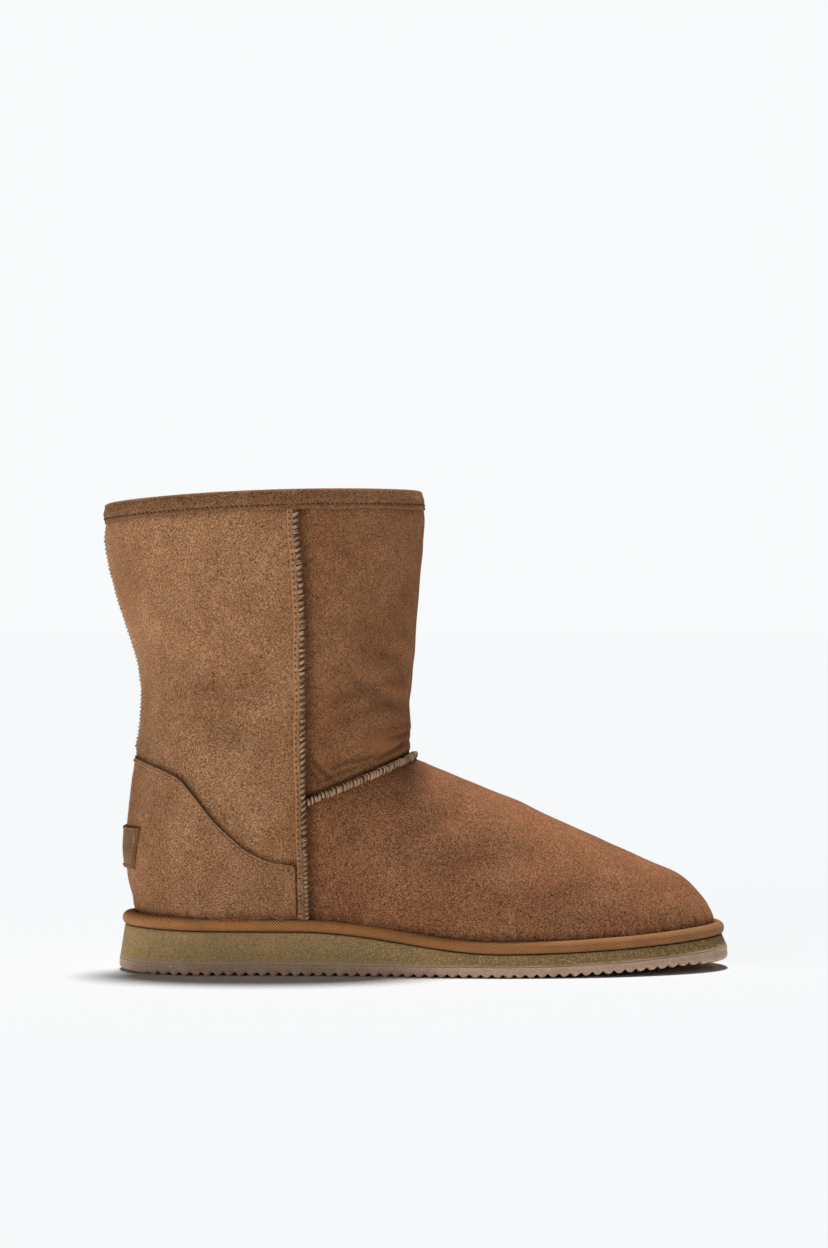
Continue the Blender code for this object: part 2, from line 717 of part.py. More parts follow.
def make_instep_seam():
    """Raised seam across the instep, from one side seam to the other."""
    number = float(INSTEP_SECTION)
    clear = SIDE_SEAM_WIDTH / 2 + GAP * 2
    start, end = turn_across(0.5, number, clear), turn_across(1.5, number, -clear)
    sections = []
    for turn in [start] + [turn for turn in TURNS if start < turn < end] + [end]:
        points = []
        for across, lift in SEAM_SHAPE:
            beside = number_across(turn, number, across * INSTEP_SEAM_WIDTH / 2)
            points.append(skin(turn, beside, SEAT_GAP + lift * INSTEP_SEAM_HEIGHT))
        sections.append(points)
    add_solid("instep_seam", sections, "thread")


def patch_column(places, under, over):
    """Closed column of a sheet on the upper: its outer face up the places, then its inner face down."""
    outer = [skin(turn, number, over) for turn, number in places]
    inner = [skin(turn, number, under) for turn, number in reversed(places)]
    return outer + inner


def make_counter():
    """Suede overlay round the heel, from one side seam to the other."""
    columns = []
    clear = SIDE_SEAM_WIDTH / 2 + GAP * 2
    for column in range(-BACK_COLUMNS, BACK_COLUMNS + 1):
        turn = 0.5 * column / BACK_COLUMNS
        low, high = above_welt(turn), counter_top_height(turn)
        places = []
        for row in range(COUNTER_ROWS + 1):
            number = number_at(turn, low + (high - low) * row / COUNTER_ROWS)
            reach = turn_across(0.5, number, -clear)
            places.append((min(max(turn, -reach), reach), number))
        columns.append(patch_column(places, SEAT_GAP, SEAT_GAP + COUNTER_THICKNESS))
    add_solid("heel_counter", columns, "suede")


def make_label():
    """Plain patch sewn on the counter at the back of the heel."""
    columns = []
    under = SEAT_GAP + COUNTER_THICKNESS + GAP
    base = LABEL_MIDDLE_HEIGHT - LABEL_HEIGHT / 2
    reach = turn_across(0.0, number_at(0.0, LABEL_MIDDLE_HEIGHT), LABEL_WIDTH / 2)
    half = [turn for turn in TURNS if 0 < turn < reach * 0.97] + [reach]
    for turn in [-turn for turn in reversed(half)] + [0.0] + half:
        heights = [base + LABEL_HEIGHT * row / LABEL_ROWS for row in range(LABEL_ROWS + 1)]
        places = [(turn, number_at(turn, height)) for height in heights]
        columns.append(patch_column(places, under, under + LABEL_THICKNESS))
    add_solid("heel_label", columns, "label")


def clear_scene():
    for old in list(bpy.data.objects):
        bpy.data.objects.remove(old)


def centre_on_floor():
    """Move every piece so that the whole boot's box stands on the origin."""
    points = np.array([v.co for piece in bpy.data.objects for v in piece.data.vertices])
    low, high = points.min(axis=0), points.max(axis=0)
    middle = Vector(((low[0] + high[0]) / 2, (low[1] + high[1]) / 2, low[2]))
    for piece in bpy.data.objects:
        piece.data.transform(Matrix.Translation(-middle))


def main():
    clear_scene()
    make_outsole()
    make_midsole()
    make_welt()
    make_insole()
    make_upper()
    make_binding()
    make_side_seams()
    make_instep_seam()
    make_counter()
    make_back_seam()
    make_label()
    centre_on_floor()


main()
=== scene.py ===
"""Sheepskin boot: detailed pieces, materials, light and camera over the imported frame."""

import math
from collections import namedtuple

import bpy
import numpy as np
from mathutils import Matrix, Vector


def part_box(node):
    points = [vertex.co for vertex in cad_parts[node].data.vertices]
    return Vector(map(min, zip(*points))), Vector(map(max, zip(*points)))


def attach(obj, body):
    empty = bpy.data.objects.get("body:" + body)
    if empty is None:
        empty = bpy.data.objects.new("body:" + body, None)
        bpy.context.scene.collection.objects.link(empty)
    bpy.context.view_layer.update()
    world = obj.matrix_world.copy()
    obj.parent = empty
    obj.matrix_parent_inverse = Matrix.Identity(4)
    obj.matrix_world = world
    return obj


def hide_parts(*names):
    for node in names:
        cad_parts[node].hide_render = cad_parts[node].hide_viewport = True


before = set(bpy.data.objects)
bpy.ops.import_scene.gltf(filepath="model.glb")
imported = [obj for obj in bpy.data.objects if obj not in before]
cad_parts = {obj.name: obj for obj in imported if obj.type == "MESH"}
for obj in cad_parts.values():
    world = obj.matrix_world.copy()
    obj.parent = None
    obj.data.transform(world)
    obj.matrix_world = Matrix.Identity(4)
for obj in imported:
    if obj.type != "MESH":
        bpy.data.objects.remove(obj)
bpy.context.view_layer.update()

# Camera: level, at the photo's place beside the boot
EYE = (-0.0008, -1.700, 0.164)
FOCAL_PIXELS, PICTURE_HEIGHT, SENSOR = 3565.0, 1248.0, 36.0

# Sole
SOLE_LENGTH = 0.290
BALL_WIDTH = 0.104
HEEL_WIDTH = 0.077
WAIST_WIDTH = 0.079
TOE_SWING = 0.007
HEEL_THICKNESS = 0.0200
FOREFOOT_THICKNESS = 0.0105
OUTSOLE_THICKNESS = 0.0048
TOE_SPRING = 0.0058
HEEL_END_LIFT = 0.0012
HEEL_END_RISE = 0.0018
SOLE_FLARE = 0.0026
RIB_PITCH = 0.0052
GROOVE_DEPTH = 0.0011
TOE_LIP = 0.0011

# Upper
WALL = 0.0030
BOOT_HEIGHT = 0.2275
COLLAR_DIP = 0.0062
COLLAR_DEPTH = 0.1490
COLLAR_WIDTH = 0.0900
COLLAR_OVERHANG = 0.0064
ANKLE_HEIGHT = 0.1340
ANKLE_WIDTH = 0.0850
ANKLE_HOLLOW = 0.0130
INSTEP_ALONG = 0.1395
INSTEP_HEIGHT = 0.1006
TOE_INSET = 0.0064
SIDE_INSET = 0.0074
SIDE_BULGE = 0.0034
SEAM_ALONG_SOLE = 0.0890
SEAM_ALONG_COLLAR = 0.0835

# Pieces on the upper
GAP = 0.0003
SEAT_GAP = 0.0005
WELT_HEIGHT = 0.0062
WELT_OVERHANG = 0.0007
INSOLE_THICKNESS = 0.0080
INSOLE_CLEARANCE = 0.0010
BINDING_THICKNESS = 0.0013
BINDING_DROP = 0.0097
BINDING_INNER_DROP = 0.0080
COUNTER_THICKNESS = 0.0013
COUNTER_BACK_HEIGHT = 0.1010
COUNTER_SIDE_HEIGHT = 0.0515
LABEL_THICKNESS = 0.0012
LABEL_WIDTH = 0.0425
LABEL_HEIGHT = 0.0200
LABEL_MIDDLE_HEIGHT = 0.0585
LABEL_SLANT = 0.26
SIDE_SEAM_WIDTH = 0.0052
SIDE_SEAM_HEIGHT = 0.0028
INSTEP_SEAM_WIDTH = 0.0036
INSTEP_SEAM_HEIGHT = 0.0030
BACK_SEAM_WIDTH = 0.0040
BACK_SEAM_HEIGHT = 0.0026

LATERAL, MEDIAL, BOTH = -1.0, 1.0, 0.0
STEP = 2e-3
MM = 1e-3

Width = namedtuple("Width", "along lateral medial size")
SOLE_WIDTHS = (
    Width(0.00, 0.500, 0.500, HEEL_WIDTH),
    Width(0.16, 0.500, 0.500, HEEL_WIDTH),
    Width(0.40, 0.535, 0.465, WAIST_WIDTH),
    Width(0.52, 0.470, 0.405, BALL_WIDTH),
    Width(0.65, 0.515, 0.470, BALL_WIDTH),
    Width(0.74, 0.505, 0.485, BALL_WIDTH),
    Width(1.00, 0.430, 0.485, BALL_WIDTH),
)
HEEL_ROUND, TOE_ROUND = 0.150, 0.310
HEEL_POWER, TOE_POWER = 2.15, 2.35
SWING_START = 0.35
WEDGE_START, WEDGE_END, SPRING_START = 0.30, 0.62, 0.62
SPRING_POWER = 1.8
HEEL_END = 0.20

Line = namedtuple("Line", "level ahead")
HEEL_LINE = (
    Line(0.000, 0.80),
    Line(0.103, 0.65),
    Line(0.208, 0.43),
    Line(0.332, 0.36),
    Line(0.490, 0.47),
    Line(0.700, 0.70),
    Line(0.800, 0.89),
    Line(0.900, 0.98),
    Line(1.000, 1.00),
)
CALF_LINE = (
    Line(1.000, 0.00),
    Line(1.151, 0.10),
    Line(1.323, 0.34),
    Line(1.538, 0.64),
    Line(1.753, 0.86),
    Line(1.861, 0.92),
    Line(2.000, 1.00),
)
VampLine = namedtuple("VampLine", "level ahead rise")
VAMP_LINE = (
    VampLine(0.00, 1.000, 0.000),
    VampLine(0.08, 0.999, 0.075),
    VampLine(0.16, 0.981, 0.160),
    VampLine(0.24, 0.944, 0.245),
    VampLine(0.33, 0.886, 0.333),
    VampLine(0.45, 0.766, 0.426),
    VampLine(0.62, 0.555, 0.588),
    VampLine(0.80, 0.298, 0.785),
    VampLine(1.00, 0.000, 1.000),
)
SHAFT_LINE = (
    Line(1.00, 0.00),
    Line(1.05, -0.60),
    Line(1.12, -0.28),
    Line(1.20, -0.38),
    Line(1.32, 0.02),
    Line(1.44, 0.42),
    Line(1.57, 0.72),
    Line(1.69, 1.15),
    Line(1.81, 1.50),
    Line(1.90, 1.58),
    Line(2.00, 1.00),
)
Section = namedtuple("Section", "back front back_round front_round leg spread bulge follow arch")
SECTIONS = (
    Section(0.000, 0.00, 0.550, 0.300, 0.00, 0.00, 0.00, 1.00, 1.0),
    Section(0.028, 0.05, 0.570, 0.300, 0.06, 0.00, 0.45, 0.85, 1.0),
    Section(0.056, 0.11, 0.595, 0.310, 0.12, 0.00, 0.80, 0.65, 1.0),
    Section(0.086, 0.18, 0.620, 0.330, 0.20, 0.00, 1.00, 0.42, 1.0),
    Section(0.116, 0.27, 0.645, 0.370, 0.30, 0.00, 1.05, 0.22, 1.0),
    Section(0.145, 0.40, 0.670, 0.430, 0.42, 0.00, 1.05, 0.08, 1.0),
    Section(0.172, 0.58, 0.695, 0.490, 0.55, 0.00, 1.05, 0.00, 1.0),
    Section(0.197, 0.78, 0.720, 0.520, 0.66, 0.00, 1.00, 0.00, 1.0),
    Section(0.222, 1.00, 0.740, 0.520, 0.76, 0.00, 1.00, 0.00, 1.0),
    Section(0.360, 1.05, 0.775, 0.510, 0.86, 0.00, 1.00, 0.00, 1.0),
    Section(0.560, 1.14, 0.820, 0.500, 0.94, 0.02, 0.80, 0.00, 1.0),
    Section(0.800, 1.26, 0.860, 0.500, 1.00, 0.06, 0.00, 0.00, 1.0),
    Section(1.030, 1.39, 0.900, 0.500, 1.00, 0.14, 0.00, 0.00, 1.0),
    Section(1.270, 1.53, 0.935, 0.500, 1.00, 0.34, 0.00, 0.00, 1.0),
    Section(1.500, 1.68, 0.965, 0.500, 1.00, 0.60, 0.00, 0.00, 1.1),
    Section(1.750, 1.84, 0.985, 0.500, 1.00, 0.84, 0.00, 0.00, 1.6),
    Section(2.000, 2.00, 1.000, 0.500, 1.00, 1.00, 0.00, 0.00, 2.4),
)
INSTEP = 8.0
TOP = float(len(SECTIONS) - 1)
SECTION_POWER = 2.05
CounterTop = namedtuple("CounterTop", "turn rise")
COUNTER_TOP = (
    CounterTop(0.00, 1.00),
    CounterTop(0.16, 0.97),
    CounterTop(0.31, 0.91),
    CounterTop(0.44, 0.81),
    CounterTop(0.50, 0.70),
    CounterTop(0.58, 0.50),
    CounterTop(0.65, 0.32),
    CounterTop(0.74, 0.14),
    CounterTop(0.84, 0.04),
    CounterTop(1.00, 0.00),
)
SeamLine = namedtuple("SeamLine", "number lean")
SEAM_LINE = (
    SeamLine(0.0, 0.00),
    SeamLine(7.0, 0.20),
    SeamLine(9.0, 0.40),
    SeamLine(13.0, 0.46),
    SeamLine(14.5, 0.72),
    SeamLine(15.3, 1.00),
    SeamLine(16.0, 1.00),
)


class Curve:
    """A column of a table as a smooth curve through its rows that never overshoots them."""

    def __init__(self, table, column):
        self.places = np.array([row[0] for row in table], float)
        self.values = np.array([getattr(row, column) for row in table], float)
        self.steps = np.diff(self.places)
        slopes = np.diff(self.values) / self.steps
        self.tangents = np.concatenate([slopes[:1], np.zeros(len(slopes) - 1), slopes[-1:]])
        for i in range(1, len(slopes)):
            before, after = slopes[i - 1], slopes[i]
            if before * after > 0:
                near = 2 * self.steps[i] + self.steps[i - 1]
                far = self.steps[i] + 2 * self.steps[i - 1]
                self.tangents[i] = (near + far) / (near / before + far / after)

    def at(self, place):
        place = np.clip(place, self.places[0], self.places[-1])
        found = np.searchsorted(self.places, place, side="right") - 1
        i = np.clip(found, 0, len(self.steps) - 1)
        u = (place - self.places[i]) / self.steps[i]
        rise = self.values[i + 1] - self.values[i]
        bend_in = self.tangents[i] * self.steps[i] - rise
        bend_out = rise - self.tangents[i + 1] * self.steps[i]
        return self.values[i] + u * rise + u * (1 - u) * ((1 - u) * bend_in + u * bend_out)


HalfWidth = namedtuple("HalfWidth", "along lateral medial")
HALF_WIDTHS = [HalfWidth(w.along, w.lateral * w.size, w.medial * w.size) for w in SOLE_WIDTHS]
SOLE_SIDES = {LATERAL: Curve(HALF_WIDTHS, "lateral"), MEDIAL: Curve(HALF_WIDTHS, "medial")}
HEEL_AHEAD = Curve(HEEL_LINE, "ahead")
CALF_AHEAD = Curve(CALF_LINE, "ahead")
VAMP_AHEAD = Curve(VAMP_LINE, "ahead")
VAMP_RISE = Curve(VAMP_LINE, "rise")
SHAFT_AHEAD = Curve(SHAFT_LINE, "ahead")
COUNTER_RISE = Curve(COUNTER_TOP, "rise")
SEAM_LEAN = Curve(SEAM_LINE, "lean")
Numbered = namedtuple("Numbered", ("number",) + Section._fields)
NUMBERED_SECTIONS = [Numbered(number, *row) for number, row in enumerate(SECTIONS)]
SECTION_CURVES = [Curve(NUMBERED_SECTIONS, column) for column in Section._fields]


def ease(u):
    """0 to 1 with a soft start and end."""
    u = np.clip(u, 0.0, 1.0)
    return u * u * (3 - 2 * u)


def bell(u):
    """1 at zero, fading to nothing about 2 away."""
    return np.exp(-u * u)


def hump(value, middle, width):
    """1 where the value is at middle, fading to nothing about two widths away."""
    return bell((value - middle) / width)


def unit(vectors):
    return vectors / np.maximum(np.linalg.norm(vectors, axis=-1, keepdims=True), 1e-12)


def rounded(distance, reach, power):
    """Share of the full half-width at a distance from a rounded end that takes reach."""
    left = np.clip(1 - distance / reach, 0.0, 1.0)
    return (1 - left**power) ** (1 / power)


def sole_width(along, side):
    """Half-width of the sole on each point's own side, as if its ends were square."""
    share = along / SOLE_LENGTH
    return np.where(side < 0, SOLE_SIDES[LATERAL].at(share), SOLE_SIDES[MEDIAL].at(share))


def centre_line(along):
    """How far the foot's centre line has bent towards the inner side."""
    start = SWING_START * SOLE_LENGTH
    return TOE_SWING * np.clip((along - start) / (SOLE_LENGTH - start), 0, 1) ** 1.5


def spring_rise(share):
    return TOE_SPRING * np.clip((share - SPRING_START) / (1 - SPRING_START), 0, 1) ** SPRING_POWER


def sole_bottom(along):
    """Height of the tread."""
    share = along / SOLE_LENGTH
    return spring_rise(share) + HEEL_END_LIFT * np.clip(1 - share / (HEEL_END / 2), 0, 1) ** 2


def sole_top(along):
    """Height of the face that the upper stands on."""
    share = along / SOLE_LENGTH
    wedge = ease((share - WEDGE_START) / (WEDGE_END - WEDGE_START))
    thickness = HEEL_THICKNESS + (FOREFOOT_THICKNESS - HEEL_THICKNESS) * wedge
    return thickness + spring_rise(share) + HEEL_END_RISE * np.clip(1 - share / HEEL_END, 0, 1) ** 2


def spread_turn(turn, back, seam, front):
    """Place along a loop at a turn: 0 is the back, 0.5 the side seam and 1 the front."""
    left = np.minimum(turn, 1 - turn) * 2
    crowded = left * left * (2 - left)
    return np.where(turn <= 0.5, back + (seam - back) * crowded, front - (front - seam) * crowded)


def sole_edge(along, side):
    """Point of the sole's bottom outline, seen from above."""
    half = sole_width(along, side)
    half = half * rounded(along, HEEL_ROUND * SOLE_LENGTH, HEEL_POWER)
    half = half * rounded(SOLE_LENGTH - along, TOE_ROUND * SOLE_LENGTH, TOE_POWER)
    return np.stack([along, centre_line(along) + side * half], axis=-1)


def back_point(level):
    """(along, height) on the boot's back line."""
    sole = sole_top(ANKLE_HOLLOW) + SEAT_GAP
    rim = BOOT_HEIGHT - COLLAR_DIP - GAP - BINDING_THICKNESS
    heel = ANKLE_HOLLOW * HEEL_AHEAD.at(level)
    calf = ANKLE_HOLLOW + (-COLLAR_OVERHANG - ANKLE_HOLLOW) * CALF_AHEAD.at(level)
    low = sole + (ANKLE_HEIGHT - sole) * level
    high = ANKLE_HEIGHT + (rim - ANKLE_HEIGHT) * (level - 1)
    return np.where(level <= 1, heel, calf), np.where(level <= 1, low, high)


def front_point(level):
    """(along, height) on the boot's front line."""
    toe = SOLE_LENGTH - TOE_INSET
    sole = sole_top(toe) + SEAT_GAP
    rim = BOOT_HEIGHT - GAP - BINDING_THICKNESS
    vamp = INSTEP_ALONG + (toe - INSTEP_ALONG) * VAMP_AHEAD.at(level)
    lead = COLLAR_DEPTH - COLLAR_OVERHANG - INSTEP_ALONG
    shaft = INSTEP_ALONG + lead * SHAFT_AHEAD.at(level)
    low = sole + (INSTEP_HEIGHT - sole) * VAMP_RISE.at(level)
    high = INSTEP_HEIGHT + (rim - INSTEP_HEIGHT) * (level - 1)
    return np.where(level <= 1, vamp, shaft), np.where(level <= 1, low, high)


def stacked(first, second=0.0, third=0.0):
    """Three values for each point as one vector: a place, or its painted shade, warmth and paleness."""
    return np.stack(np.broadcast_arrays(first, second, third), axis=-1)


def halved(turn):
    """Side of the boot and share of the way from back to front at a turn."""
    return np.where(turn <= 1, LATERAL, MEDIAL), np.where(turn <= 1, turn, 2 - turn)


def surface(turn, number):
    """Points of the upper's outer surface, in the sole's own lengths."""
    turn, number = np.broadcast_arrays(np.asarray(turn, float) % 2, np.asarray(number, float))
    side, share = halved(turn)
    row = Section(*(curve.at(number) for curve in SECTION_CURVES))
    (back, low), (front, high) = back_point(row.back), front_point(row.front)
    seam = SEAM_ALONG_SOLE + (SEAM_ALONG_COLLAR - SEAM_ALONG_SOLE) * SEAM_LEAN.at(number)
    along = spread_turn(share, back, seam, front)
    length = front - back
    foot = sole_width(along, side) - SIDE_INSET + SIDE_BULGE * row.bulge
    leg = (ANKLE_WIDTH + (COLLAR_WIDTH - ANKLE_WIDTH) * row.spread) / 2
    half = foot * (1 - row.leg) + leg * row.leg
    half = half * rounded(along - back, row.back_round * COLLAR_DEPTH / 2, SECTION_POWER)
    power = TOE_POWER + (SECTION_POWER - TOE_POWER) * row.leg
    half = half * rounded(front - along, row.front_round * length, power)
    run = (along - back) / length
    chord = sole_top(back) + (sole_top(front) - sole_top(back)) * run
    rise = 1 - (1 - run) ** row.arch
    height = low + (high - low) * rise + row.follow * (sole_top(along) - chord)
    return stacked(along, centre_line(along) + side * half, height)


def outward(turn, number):
    """Direction out of the upper's surface."""
    turn, number = np.broadcast_arrays(np.asarray(turn, float), np.asarray(number, float))
    low, high = np.maximum(number - STEP, 0.0), np.minimum(number + STEP, TOP)
    round_it = surface(turn + STEP, number) - surface(turn - STEP, number)
    up_it = surface(turn, high) - surface(turn, low)
    return unit(np.cross(round_it, up_it))


def skin(turn, number, lift=0.0):
    """Points over the upper's surface, moved out by lift."""
    lift = np.asarray(lift, float)[..., None]
    return surface(turn, number) + lift * outward(turn, number)


HALVINGS = 26


def number_at(turn, height, lift=0.0):
    """Section number at which the upper's surface, moved out by lift, reaches a height."""
    turn, height = np.broadcast_arrays(np.asarray(turn, float), np.asarray(height, float))
    low, high = np.zeros(turn.shape), np.full(turn.shape, TOP)
    for _ in range(HALVINGS):
        middle = (low + high) / 2
        points = surface(turn, middle) if np.all(lift == 0) else skin(turn, middle, lift)
        under = points[..., 2] < height
        low, high = np.where(under, middle, low), np.where(under, high, middle)
    return (low + high) / 2


def walk(points):
    """Distance walked to each point of a row."""
    steps = np.linalg.norm(np.diff(points, axis=0), axis=1)
    return np.concatenate([[0.0], np.cumsum(steps)])


FINE_COUNT = 3001


def evenly(values, points, count):
    """Values at equal steps of the distance walked along their points."""
    gone = walk(points)
    return np.interp(np.linspace(0, gone[-1], count + 1), gone, values)


def even_turns(start, end, count, number):
    """Turns evenly spaced round a section."""
    fine = np.linspace(start, end, FINE_COUNT)
    return evenly(fine, surface(fine, number), count)


def even_numbers(start, end, count, turn):
    """Section numbers evenly spaced up the surface at a turn."""
    fine = np.linspace(start, end, FINE_COUNT)
    return evenly(fine, surface(turn, fine), count)


# The row's frame starts under the middle of the boot's box
LOW_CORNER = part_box("outsole")[0]
EDGE_COUNT = 4001
LATERAL_EDGE = sole_edge(np.linspace(0, SOLE_LENGTH, EDGE_COUNT), np.full(EDGE_COUNT, LATERAL))
SHIFT = np.array([LOW_CORNER[0], LOW_CORNER[1] - LATERAL_EDGE[:, 1].min(), 0.0])


WAVE_COUNT = 14
WAVE_SCALE = 5.0


def waves(points, length, seed):
    """Smooth noise from -1 to 1 with bumps about length apart."""
    dice = np.random.default_rng(seed)
    total = np.zeros(points.shape[:-1])
    for _ in range(WAVE_COUNT):
        way = unit(dice.normal(size=points.shape[-1])) / (length * dice.uniform(0.7, 1.6))
        total += np.sin(2 * math.pi * (points @ way + dice.uniform()))
    return np.clip(total / WAVE_SCALE, -1.0, 1.0)


def waves_along(place, length, seed):
    """Smooth noise from -1 to 1 along a line."""
    return waves(np.stack([place, 0 * place], -1), length, seed)


def ripple(place, length, shift=0.0):
    """Sine wave of a length along a line."""
    return np.sin(2 * math.pi * (place / length + shift))


def framed(values):
    """A grid with its outer rows and columns repeated once."""
    return np.pad(values, ((1, 1), (1, 1)) + ((0, 0),) * (values.ndim - 2), mode="edge")


def grid_faces(rows, columns, looped):
    """Faces of a grid of vertices, numbered row by row, whose last column may meet the first."""
    i = np.arange(rows - 1)[:, None]
    j = np.arange(columns if looped else columns - 1)[None, :]
    above, beside = i + 1, (j + 1) % columns
    corners = [i * columns + j, i * columns + beside, above * columns + beside, above * columns + j]
    return np.stack(np.broadcast_arrays(*corners), axis=-1).reshape(-1, 4)


def into_scene(name, data):
    """A new object with its data, linked into the scene."""
    made = bpy.data.objects.new(name, data)
    bpy.context.scene.collection.objects.link(made)
    return made


class Pile:
    """Vertices, faces, material numbers, and painted shade and tints, that gather into one piece."""

    def __init__(self):
        self.points, self.faces, self.kinds = [], [], []
        self.places, self.marks = [], []
        self.count = 0

    def add(self, points, faces, kind, place, marks):
        """Points and the faces between them. One place, or one painted shade and tint, may stand for many
        points.
        """
        self.faces.append(faces.reshape(-1, 4) + self.count)
        self.kinds.append(np.full(len(self.faces[-1]), kind))
        self.places.append(np.broadcast_to(place, points.shape).reshape(-1, 3))
        self.marks.append(np.broadcast_to(marks, points.shape).reshape(-1, 3))
        self.points.append(points.reshape(-1, 3))
        self.count += len(self.points[-1])

    def sheet(self, grid, looped=False, place=0.0, marks=0.0):
        """A grid of points, rows by columns, with its outside where the rows turn to the left."""
        self.add(grid, grid_faces(*grid.shape[:2], looped), 0, place, marks)

    def strands(self, paths, radii, lean, marks, sides=6, kind=1):
        """Round strands: paths are (strand, point, 3), radii (strand, point), painted shade and tints
        (strand, 3).
        """
        ahead = unit(np.gradient(paths, axis=1))
        across = unit(np.cross(ahead, lean))
        up = np.cross(across, ahead)
        angle = 2 * math.pi * np.arange(sides) / sides
        ring = across[:, :, None] * np.cos(angle)[:, None] + up[:, :, None] * np.sin(angle)[:, None]
        points = paths[:, :, None] + radii[:, :, None, None] * ring
        strands, rows = paths.shape[:2]
        starts = np.arange(strands)[:, None, None] * rows * sides
        place = stacked(np.linspace(0, 1, rows)[:, None], np.arange(sides) / sides)
        self.add(points, grid_faces(rows, sides, True) + starts, kind, place, marks[:, None, None])

    def make(self, name, materials, nodes, sharp=None):
        """The piece as one mesh object that rides on the boot and stands for CAD nodes."""
        points = np.concatenate(self.points) + SHIFT
        faces = np.concatenate(self.faces)
        mesh = bpy.data.meshes.new(name)
        mesh.from_pydata(points.tolist(), [], faces.tolist())
        mesh.polygons.foreach_set("material_index", np.concatenate(self.kinds).astype(np.int32))
        # Each point's painted shade, warmth and paleness go with the mesh for its materials
        for label, values in (("place", self.places), ("marks", self.marks)):
            made = mesh.attributes.new(label, "FLOAT_VECTOR", "POINT")
            made.data.foreach_set("vector", np.concatenate(values).astype(np.float32).ravel())
        mesh.shade_smooth()
        if sharp:
            mesh.set_sharp_from_angle(angle=math.radians(sharp))
        for finish in materials:
            mesh.materials.append(finish)
        mesh.update()
        piece = into_scene(name, mesh)
        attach(piece, "root")
        if nodes:
            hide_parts(*nodes)
        return piece


class Track:
    """A path with a direction out of the surface and one across it, both square to it."""

    def __init__(self, points, out, across):
        self.gone = walk(points)
        self.length = self.gone[-1]
        self.points, self.out, self.across = points, unit(out), unit(across)

    def mix(self, table, t):
        return np.stack([np.interp(t, self.gone, table[:, i]) for i in range(3)], axis=-1)

    def at(self, t, across=0.0, out=0.0):
        """Points at t along the path, moved across it and out of the surface."""
        t, across, out = np.broadcast_arrays(t, across, out)
        sideways, away = unit(self.mix(self.across, t)), unit(self.mix(self.out, t))
        return self.mix(self.points, t) + across[..., None] * sideways + out[..., None] * away


def side_track(turn, low, high, lift=0.0, rows=400):
    """Path up the upper at one turn between two heights. Across is towards the front."""
    heights = np.linspace(low, high, rows)
    numbers = number_at(np.full(rows, turn), heights, lift)
    out = outward(turn, numbers)
    across = surface(turn + STEP, numbers) - surface(turn - STEP, numbers)
    across = across if turn <= 1 else -across
    return Track(skin(turn, numbers, lift), out, across)


def round_track(turns, numbers, lift=0.0):
    """Path round the upper through turns and section numbers. Across is up the surface."""
    points = skin(turns, numbers, lift)
    out = outward(turns, numbers)
    return Track(points, out, np.cross(out, np.gradient(points, axis=0)))


def foot_height(turn):
    return surface(turn, 0.0)[..., 2]


def above_welt(turn):
    return foot_height(turn) + WELT_HEIGHT + GAP * 3


def rim_height(turn):
    return surface(turn, TOP)[..., 2]


def under_binding(turn):
    return rim_height(turn) - BINDING_DROP - GAP * 2


def counter_top_height(turn):
    """Height of the counter's top edge at a turn."""
    turn = np.asarray(turn, float) % 2
    share = np.minimum(turn, 2 - turn) / 0.5
    return COUNTER_SIDE_HEIGHT + (COUNTER_BACK_HEIGHT - COUNTER_SIDE_HEIGHT) * COUNTER_RISE.at(share)


# Materials


def tone(colour, gain=1.0, warm=0.0):
    """A colour made lighter or darker, and warmer or cooler."""
    red, green, blue = colour
    return (red * gain * (1 + warm), green * gain, blue * gain * (1 - warm))


